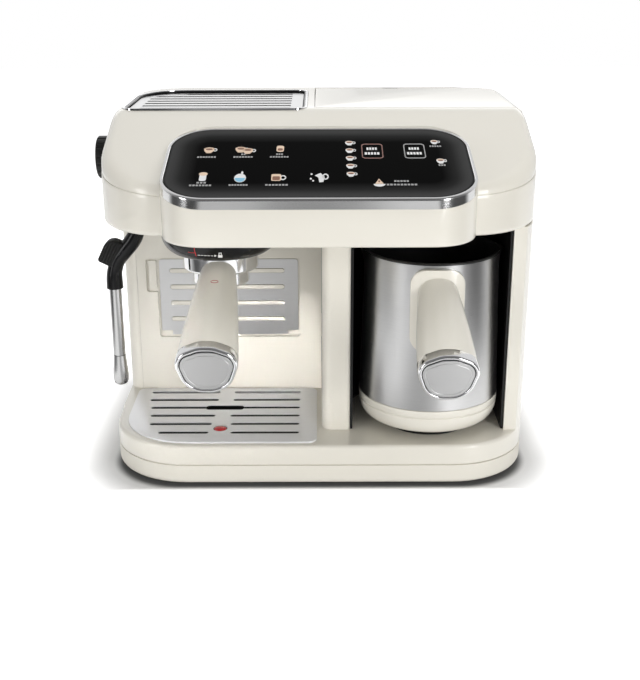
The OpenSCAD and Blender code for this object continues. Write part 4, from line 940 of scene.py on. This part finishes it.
def makePot():
    z0, z1 = pot["steel"][0], pot["rim"][0]
    heights = [z0, z0 + 0.4] + [z0 + (z1 - 18 - z0) * i / 4 for i in range(1, 5)]
    heights += [z1 - 18 + 3 * i for i in range(1, 7)]
    outer = [potRing(potRadius(z), z) for z in heights]
    inner = [potRing(potRadius(z) - pot["sheet"], z) for z in reversed(heights)]
    dress(ringPiece("potWall", outer + inner, closed=True, creaseAngle=45), "pot", "pot_shell")

    gap, top, floor = pot["sheet"] + 0.1, pot["top"], z0 + 2.5
    lining = gap + pot["coat"]
    bottom, rim = potRadius(z0), potRadius(z1)
    rings = [potRing(18, z0 + 0.1), potRing(bottom - gap, z0 + 0.1)]
    rings += [potRing(potRadius(z) - gap, z) for z in heights[2:]]
    rings += [potRing(rim + across, z) for across, z in (
        (0.1, z1 + 0.15), (0.55, z1 + 0.45), (0.62, top - 0.75), (0.2, top - 0.2), (-0.5, top),
        (-1.8, top - 0.15), (-2.5, top - 0.7))]
    rings += [potRing(potRadius(z) - lining, z) for z in reversed(heights[3:])]
    rings += [potRing(r, z) for r, z in ((bottom - lining, z0 + 9), (55.2, z0 + 5.2), (51, floor + 0.4),
                                         (46, floor), (18, floor))]
    dress(ringPiece("potLining", rings, creaseAngle=50), "pot", "pot_liner")

    foot, h, r, curve = pot["foot"], pot["footHeight"], pot["steel"][1], pot["footRound"]
    profile = [(18, foot), (r - 12.5, foot)]
    profile += [(r - curve + curve * sin(radians(a)), foot + h - h * cos(radians(a)))
                for a in range(6, 84, 7)]
    profile += [(r + across, foot + h + rise) for across, rise in (
        (0, -1.0), (-0.1, -0.6), (-0.9, -0.1), (-0.9, 0.2), (-0.1, 0.55), (0.3, 1.2), (0.3, 5.6),
        (0.1, 6.4), (-0.8, 6.8), (18 - r, 6.85))]
    piece = lathe("potFoot", profile, pot["centre"], 160, closed=False, creaseAngle=45)
    dress(piece, "pot", "pot_base")
    dress(softened("pot_bracket", 1.5, 3, angle=40), "pot", "pot_bracket")


makePot()
print("pot built")

wand = {"x": -175, "depth": -79.5, "arm": ((-153, 218, 6.2), (-153.6, 209.5, 6.6), (-157.5, 201.5, 7.0),
                                           (-164.5, 192.8, 6.9), (-171, 184.5, 6.5), (-174.2, 175.5, 6.4),
                                           (-175, 168.5, 6.8), (-175, 159.7, 7.1)),
        "ball": (9, 220), "bore": (5.25, 140, 171.5), "tipBottom": 71.5,
        "holes": {"count": 4, "radius": 0.75, "out": 0.0058, "up": 0.0025, "tilt": 60},
        "tab": {"at": (-172.5, 190.1), "tilt": 26, "reach": 11.5, "thickness": 13, "length": 23, "ribs": 6,
                "ribDepth": 0.7},
        "tip": ((1.0, 0), (3.9, 0), (5.3, 0.9), (6.3, 3.0), (6.75, 6), (6.8, 9), (6.5, 14), (5.9, 20),
                (5.5, 25.5), (5.35, 27.2), (4.7, 27.4), (4.7, 27.8), (1.0, 27.8))}


# Smooth points through a few given ones.
def smoothPath(points, steps=6):
    out = []
    count = len(points)
    for i in range(count - 1):
        a, b, c, d = (Vector(points[min(max(k, 0), count - 1)]) for k in range(i - 1, i + 3))
        for k in range(steps):
            t = k / steps
            out.append(0.5 * (2 * b + (c - a) * t + (2 * a - 5 * b + 4 * c - d) * t * t
                              + (3 * b - a - 3 * c + d) * t ** 3))
    out.append(Vector(points[-1]))
    return out


# Ring of the arm square to its run, which lies in the plane of x and z.
def armRing(p, along, radius, shift=0.0):
    ring = []
    for a in round360(40):
        u, v = radius * cos(a), radius * sin(a)
        ring.append((p[0] + along[0] * shift + along[1] * u, wand["depth"] + v,
                     p[1] + along[1] * shift - along[0] * u))
    return ring


def makeArm():
    line = smoothPath(wand["arm"])
    rings = []
    for before, p, after in zip(line[:1] + line, line, line[1:] + line[-1:]):
        rings.append(armRing(p, (after - before).xy.normalized(), p[2]))
    rings += [armRing(line[-1], (0, -1), radius, drop) for radius, drop in ((6.9, -0.3), (6.3, 0.2), (5.35, 0.3))]
    piece = ringPiece("wandArm", rings, creaseAngle=50)
    r, z = wand["ball"]
    profile = [(r * cos(radians(a)), z + r * sin(radians(a))) for a in range(-84, 85, 12)]
    carve(piece, [lathe("tool", profile, (wand["arm"][0][0], wand["depth"]), 40, closed=False)], "UNION", 40)
    carve(piece, [pillar(wand["x"], wand["depth"], *wand["bore"])], creaseAngle=40)
    dress(piece, "wand", "wand_arm")


def makeTab():
    tab = wand["tab"]
    half, length, ribs = tab["thickness"] / 2, tab["length"] / 2, tab["ribs"]
    steps = ribs * 6
    face = [(-tab["reach"] + (tab["reach"] + 3) * i / steps,
             -half + tab["ribDepth"] * (0.5 - 0.5 * cos(2 * pi * i / 6)) ** 2) for i in range(steps + 1)]
    outline = face + [(x, -y) for x, y in reversed(face)]
    rings = [[(x, y, z) for x, y in outline] for z in (-length - 4, length + 4)]
    piece = ringPiece("wandTab", rings, creaseAngle=35)
    side = cornerPlan((-tab["reach"], -length), (3, length), (2.5, 1, 1, 9), 8)
    rounding = ((1.6, 0), (0.5, 0.5), (0, 1.6))
    levels = [(i, -half + rise) for i, rise in rounding] + [(i, half - rise) for i, rise in reversed(rounding)]
    blank = ringPiece("tool", [[(x - nx * i, y, z - nz * i) for x, z, nx, nz in side] for i, y in levels])
    carve(piece, [blank], "INTERSECT", 35)
    place = Matrix.Translation((tab["at"][0] / 1000, wand["depth"] / 1000, tab["at"][1] / 1000))
    piece.data.transform(place @ Matrix.Rotation(radians(tab["tilt"]), 4, "Y"))
    dress(piece, "wand", "wand_grip")


def makeTip():
    low, spec = wand["tipBottom"], wand["holes"]
    piece = lathe("wandTip", [(r, low + z) for r, z in wand["tip"]], (wand["x"], wand["depth"]), 64, creaseAngle=40)
    holes = []
    for k in range(spec["count"]):
        hole = lathe("tool", ((spec["radius"], -3), (spec["radius"], 3)), steps=16, closed=False)
        place = Matrix.Translation((wand["x"] / 1000, wand["depth"] / 1000, low / 1000 + spec["up"]))
        hole.data.transform(place @ Matrix.Rotation(radians(45 + 90 * k), 4, "Z")
                            @ Matrix.Translation((spec["out"], 0, 0))
                            @ Matrix.Rotation(radians(spec["tilt"]), 4, "Y"))
        holes.append(hole)
    carve(piece, holes, creaseAngle=40)
    dress(piece, "wand", "wand_tip")


makeArm()
makeTab()
makeTip()
print("steam wand built")

# solids whose sharp edges only need rounding: body, edge width, steps, crease angle
edged = {
    "left_side_panel": ("machine", 0.9, 2, 11), "right_side_panel": ("machine", 0.9, 2, 11),
    "bay_panel": ("machine", 0.7, 2, 11), "rear_cover": ("machine", 0.7, 2, 11),
    "pillar_trim": ("machine", 0.7, 2, 11), "splash_plate": ("machine", 0.3, 1, 11),
    "pot_seat": ("machine", 0.5, 2, 35), "cable_gland": ("machine", 0.6, 2, 35), "steam_knob": ("knob", 0.7, 2, 35),
    "filter_spout": ("portafilter", 0.6, 2, 35), "drip_bin": ("bin", 0.4, 2, 11), "feet": ("machine", 0.8, 2, 35),
}
for node, (body, width, steps, crease) in edged.items():
    dress(softened(node, width, steps, crease), body, node)
print("edges rounded:", len(edged))


def makeWarmer():
    top, rim, floor = warmer["top"], warmer["rim"], warmer["floor"]
    profile = ((0, floor), (0, top - 0.3), (0.15, top - 0.08), (0.4, top), (rim - 0.4, top),
               (rim - 0.12, top - 0.1), (rim, top - 0.4), (rim, floor))
    dress(stacked("warmerRim", warmerOutline, profile, closed=True), "machine", "grille_pan")
    # black tub inside the rim and under the slotted plate: a dark sheet that paints the shade along the rim's inner
    # wall and in the slots
    profile = ((rim + 1.2, floor + 1.2), (rim + 1.2, top - 1.0), (rim, top - 0.8), (rim, floor))
    dress(stacked("warmerShadeTub", warmerOutline, profile), "machine", look="blackGloss")

    inset, z0, z1 = warmer["plate"]
    piece = stacked("warmerPlate", warmerOutline, ((inset, z0), (inset, z1 - 0.25), (inset + 0.25, z1)))
    slots = warmer["slots"]
    cornerR = warmer["corners"][3]
    centreX, centreY = warmer["low"][0] + cornerR, warmer["high"][1] - cornerR

    def leftEnd(y):
        over = max(y - centreY, 0)
        return centreX - sqrt(max((cornerR - slots["inset"]) ** 2 - over ** 2, 0))
    tools = []
    for k in range(slots["count"]):
        y0 = slots["first"] + slots["pitch"] * k
        levels = [y0 + slots["width"] * i / 4 for i in range(5)]
        outline = [(slots["right"], y, 0, 0) for y in (y0, levels[-1])]
        outline += [(leftEnd(y), y, 0, 0) for y in reversed(levels)]
        tools.append(prism(outline, z0 - 3, z1 + 3))
    carve(piece, tools)
    dress(piece, "machine", "cup_grille")


makeWarmer()
lid = {"low": (-3, -12.5), "high": (400, 140), "corners": (5, 1, 1, 1), "edge": 0.8}
corner = prism(cornerPlan(lid["low"], lid["high"], lid["corners"], 6), 290, 310)
dress(softened("tank_lid", lid["edge"], 3, 11, trim=corner), "lid", "tank_lid")
print("cup warmer and lid built")

tray = {"low": (-170.7, -134.2), "high": (-2.3, -11.8), "corners": (58.2, 8.2, 8.2, 8.2), "middle": -86.5,
        "deck": 38.0, "top": 39.6, "sheet": 0.8, "through": (30, 50),
        "firstRow": -23, "pitch": 18.3, "slotHalf": 2.8,
        "leftReach": (71, 70.5, 67, 65, 63, 53), "rightReach": 69, "gap": (6.5, 6.5, 6.5, 6.5, 8, 9.3),
        "opening": (-16.5, 17.5, 5.4), "float": (-86.5, -106, 6.3, 5.5)}


def makeTray():
    outline = cornerPlan(tray["low"], tray["high"], tray["corners"], 12)
    deck, top, sheet = tray["deck"], tray["top"], tray["sheet"]
    piece = stacked("trayGrid", outline, (
        (4.6, top - sheet), (4.6, deck - 4), (3.5, deck - 4), (3.5, deck + 0.05), (0, deck + 0.05),
        (0, top - 0.5), (0.15, top - 0.15), (0.5, top)))
    middle, half, through = tray["middle"], tray["slotHalf"], tray["through"]
    tools = []
    for k, (left, gap) in enumerate(zip(tray["leftReach"], tray["gap"])):
        y = tray["firstRow"] - tray["pitch"] * k
        for x0, x1 in ((middle - left, middle - gap), (middle + gap, middle + tray["rightReach"])):
            tools.append(roundSlot((x0, y - half), (x1, y + half), half * 0.98, *through))
    x0, x1, across = tray["opening"]
    y = tray["firstRow"] - 2 * tray["pitch"]
    tools.append(roundSlot((middle + x0, y - across), (middle + x1, y + across), 3.0, *through))
    fx, fy, hole, red = tray["float"]
    tools.append(pillar(fx, fy, hole, *through, 48))
    for tool in tools:                        # one at a time, as neighbouring slots may touch
        carve(piece, [tool])
    dress(piece, "grid", "drip_grid")

    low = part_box("drip_float")[0][2] * 1000
    profile = [(8.9, low), (9, low + 0.4), (9, low + 4.6), (8.6, low + 5), (2.5, low + 5.2), (2.5, deck - 3),
               (red - 0.3, deck - 3), (red, deck - 2.6), (red, deck + 1.0)]
    profile += [(red * cos(radians(a)), deck + 1.0 + 1.55 * sin(radians(a)))
                for a in range(15, 89, 12)]
    piece = lathe("trayFloat", profile, (fx, fy), 64, closed=False, creaseAngle=40)
    dress(piece, "float", "drip_float")


makeTray()
print("drip tray built")

# Flat prints on the glass: x across, s up the slope from the panel's front edge.
icons = {"shift": 1.0, "glass": nose["glass"][-1][1], "lifts": {"White": 0.10, "Grey": 0.10, "Rose": 0.10,
                                                                 "Cream": 0.15, "Blue": 0.15, "Coffee": 0.20}}
prints = {name: [] for name in icons["lifts"]}


def put(colour, *outlines):
    prints[colour] += outlines


def blob(x, s, across, along, start=0, end=360, steps=20):
    turns = [radians(start + (end - start) * i / steps) for i in range(steps + (end - start < 360))]
    return [(x + across * cos(a), s + along * sin(a)) for a in turns]


def loop(outer, inner):
    return outer + outer[:1] + inner[:1] + inner[:0:-1]


def panelBox(x0, x1, s0, s1, r):
    return [(x, s) for x, s, nx, ny in cornerPlan((x0, s0), (x1, s1), (r,) * 4, 5)]


def drawLabel(x, s, width, blocks=7, colour="Grey", tall=2.6):
    step = width / blocks
    for k in range(blocks):
        left, right = x - width / 2 + step * k, x - width / 2 + step * k + step * 0.72
        put(colour, [(left, s - tall / 2), (right, s - tall / 2), (right, s + tall / 2), (left, s + tall / 2)])


def drawCup(x, s, width, tall, bowl="White"):
    half = width / 2
    put(bowl, blob(x, s + tall * 0.12, half, tall * 0.62, 180, 360),
        blob(x, s + tall * 0.12, half, tall * 0.26, 0, 180), blob(x, s - tall * 0.47, half * 0.55, tall * 0.05))
    put("White", loop(*(blob(x + half * 1.15, s, half * a, tall * b) for a, b in ((0.42, 0.24), (0.22, 0.13)))))
    put("Cream", blob(x, s + tall * 0.14, half * 0.86, tall * 0.20))
    put("Coffee", blob(x, s + tall * 0.06, half * 0.66, tall * 0.13))


def drawCoffeeIcons():
    drawCup(-90, 88, 8.4, 12, "Cream")
    drawCup(-64.5, 89, 8.4, 12, "Cream")
    drawCup(-58.5, 86.5, 8.4, 12, "Cream")
    put("Cream", panelBox(-35.3, -29.3, 84, 95.5, 2.4))
    put("Coffee", panelBox(-34.4, -30.2, 86, 90.5, 1.4))
    put("Cream", blob(-91, 43.6, 3.4, 3.0))
    put("White", panelBox(-93.7, -88.3, 31.5, 43.5, 2), blob(-62, 36.5, 4.6, 7.5))
    put("Blue", blob(-62, 35.5, 3.9, 5.6, 170, 370))
    put("White", blob(-60.8, 45.6, 0.9, 2.6))
    put("Cream", panelBox(-37.8, -30.2, 31.5, 43, 1.6))
    put("Coffee", panelBox(-36.9, -31.1, 32.4, 39, 1.2))
    put("White", loop(blob(-28.7, 37, 2.4, 4.2), blob(-28.7, 37, 1.4, 2.6)),
        [(-4.2, 40.5), (0.4, 45), (3.6, 38), (2.6, 29.5), (-0.6, 28.8), (-1.4, 37)],
        loop(blob(4.2, 38.5, 2.5, 5.2), blob(4.2, 38.5, 1.4, 3.4)),
        *(blob(x, s, 0.8, 1.5, steps=10) for x, s in ((-6.6, 43), (-7.2, 35), (-5.4, 31.5))))
    for values in ((-90.8, 74.5, 15.5), (-61.5, 79.5, 4, 2), (-61.5, 74.5, 16), (-32.4, 79.5, 6, 3),
                   (-32.4, 74.5, 15.5), (-91, 28.5, 8, 3), (-91.5, 24, 17.5), (-62.5, 24.5, 15), (-33, 24.5, 18)):
        drawLabel(*values)


def drawPotIcons():
    for s in (101, 86.5, 72, 57.6, 43.2):
        drawCup(24, s, 6.6, 9.5)
    for x0, x1, colour in ((33.7, 51.0, "Rose"), (68.0, 85.2, "Grey")):
        put(colour, loop(panelBox(x0, x1, 71, 99, 3.4), panelBox(x0 + 0.8, x1 - 0.8, 72.4, 97.6, 2.7)))
        drawLabel((x0 + x1) / 2, 89.5, 9, 4, "White", 4.4)
        drawLabel((x0 + x1) / 2, 80.5, 12.5, 5, "White", 4.4)
    drawCup(94, 102.5, 6.0, 9)
    drawLabel(94.5, 94, 10, 5)
    drawCup(96, 66.5, 6.4, 10)
    drawLabel(96.8, 58.5, 6, 3)
    put("White", blob(45.5, 25.5, 4.6, 4.2, 180, 360))
    put("Cream", [(42.2, 26), (48.8, 26), (45.5, 34.5)])
    put("Coffee", blob(45.5, 30, 0.8, 1.8, steps=10))
    drawLabel(63, 30.5, 12, 5)
    drawLabel(63, 24.5, 24, 9)


def onGlass(x, s, lift):
    tilt = radians(nose["panelTilt"])
    y = nose["low"][1] + s * cos(tilt)
    return (x + icons["shift"], y - lift * sin(tilt), panelHeight(y, icons["glass"]) + lift * cos(tilt))


drawCoffeeIcons()
drawPotIcons()
for colour, outlines in prints.items():
    lifts = (0.01, icons["lifts"][colour])
    makeMarks("print" + colour, outlines, onGlass, lifts, "icon" + colour, True)
print("prints on the glass:", sum(len(outlines) for outlines in prints.values()))
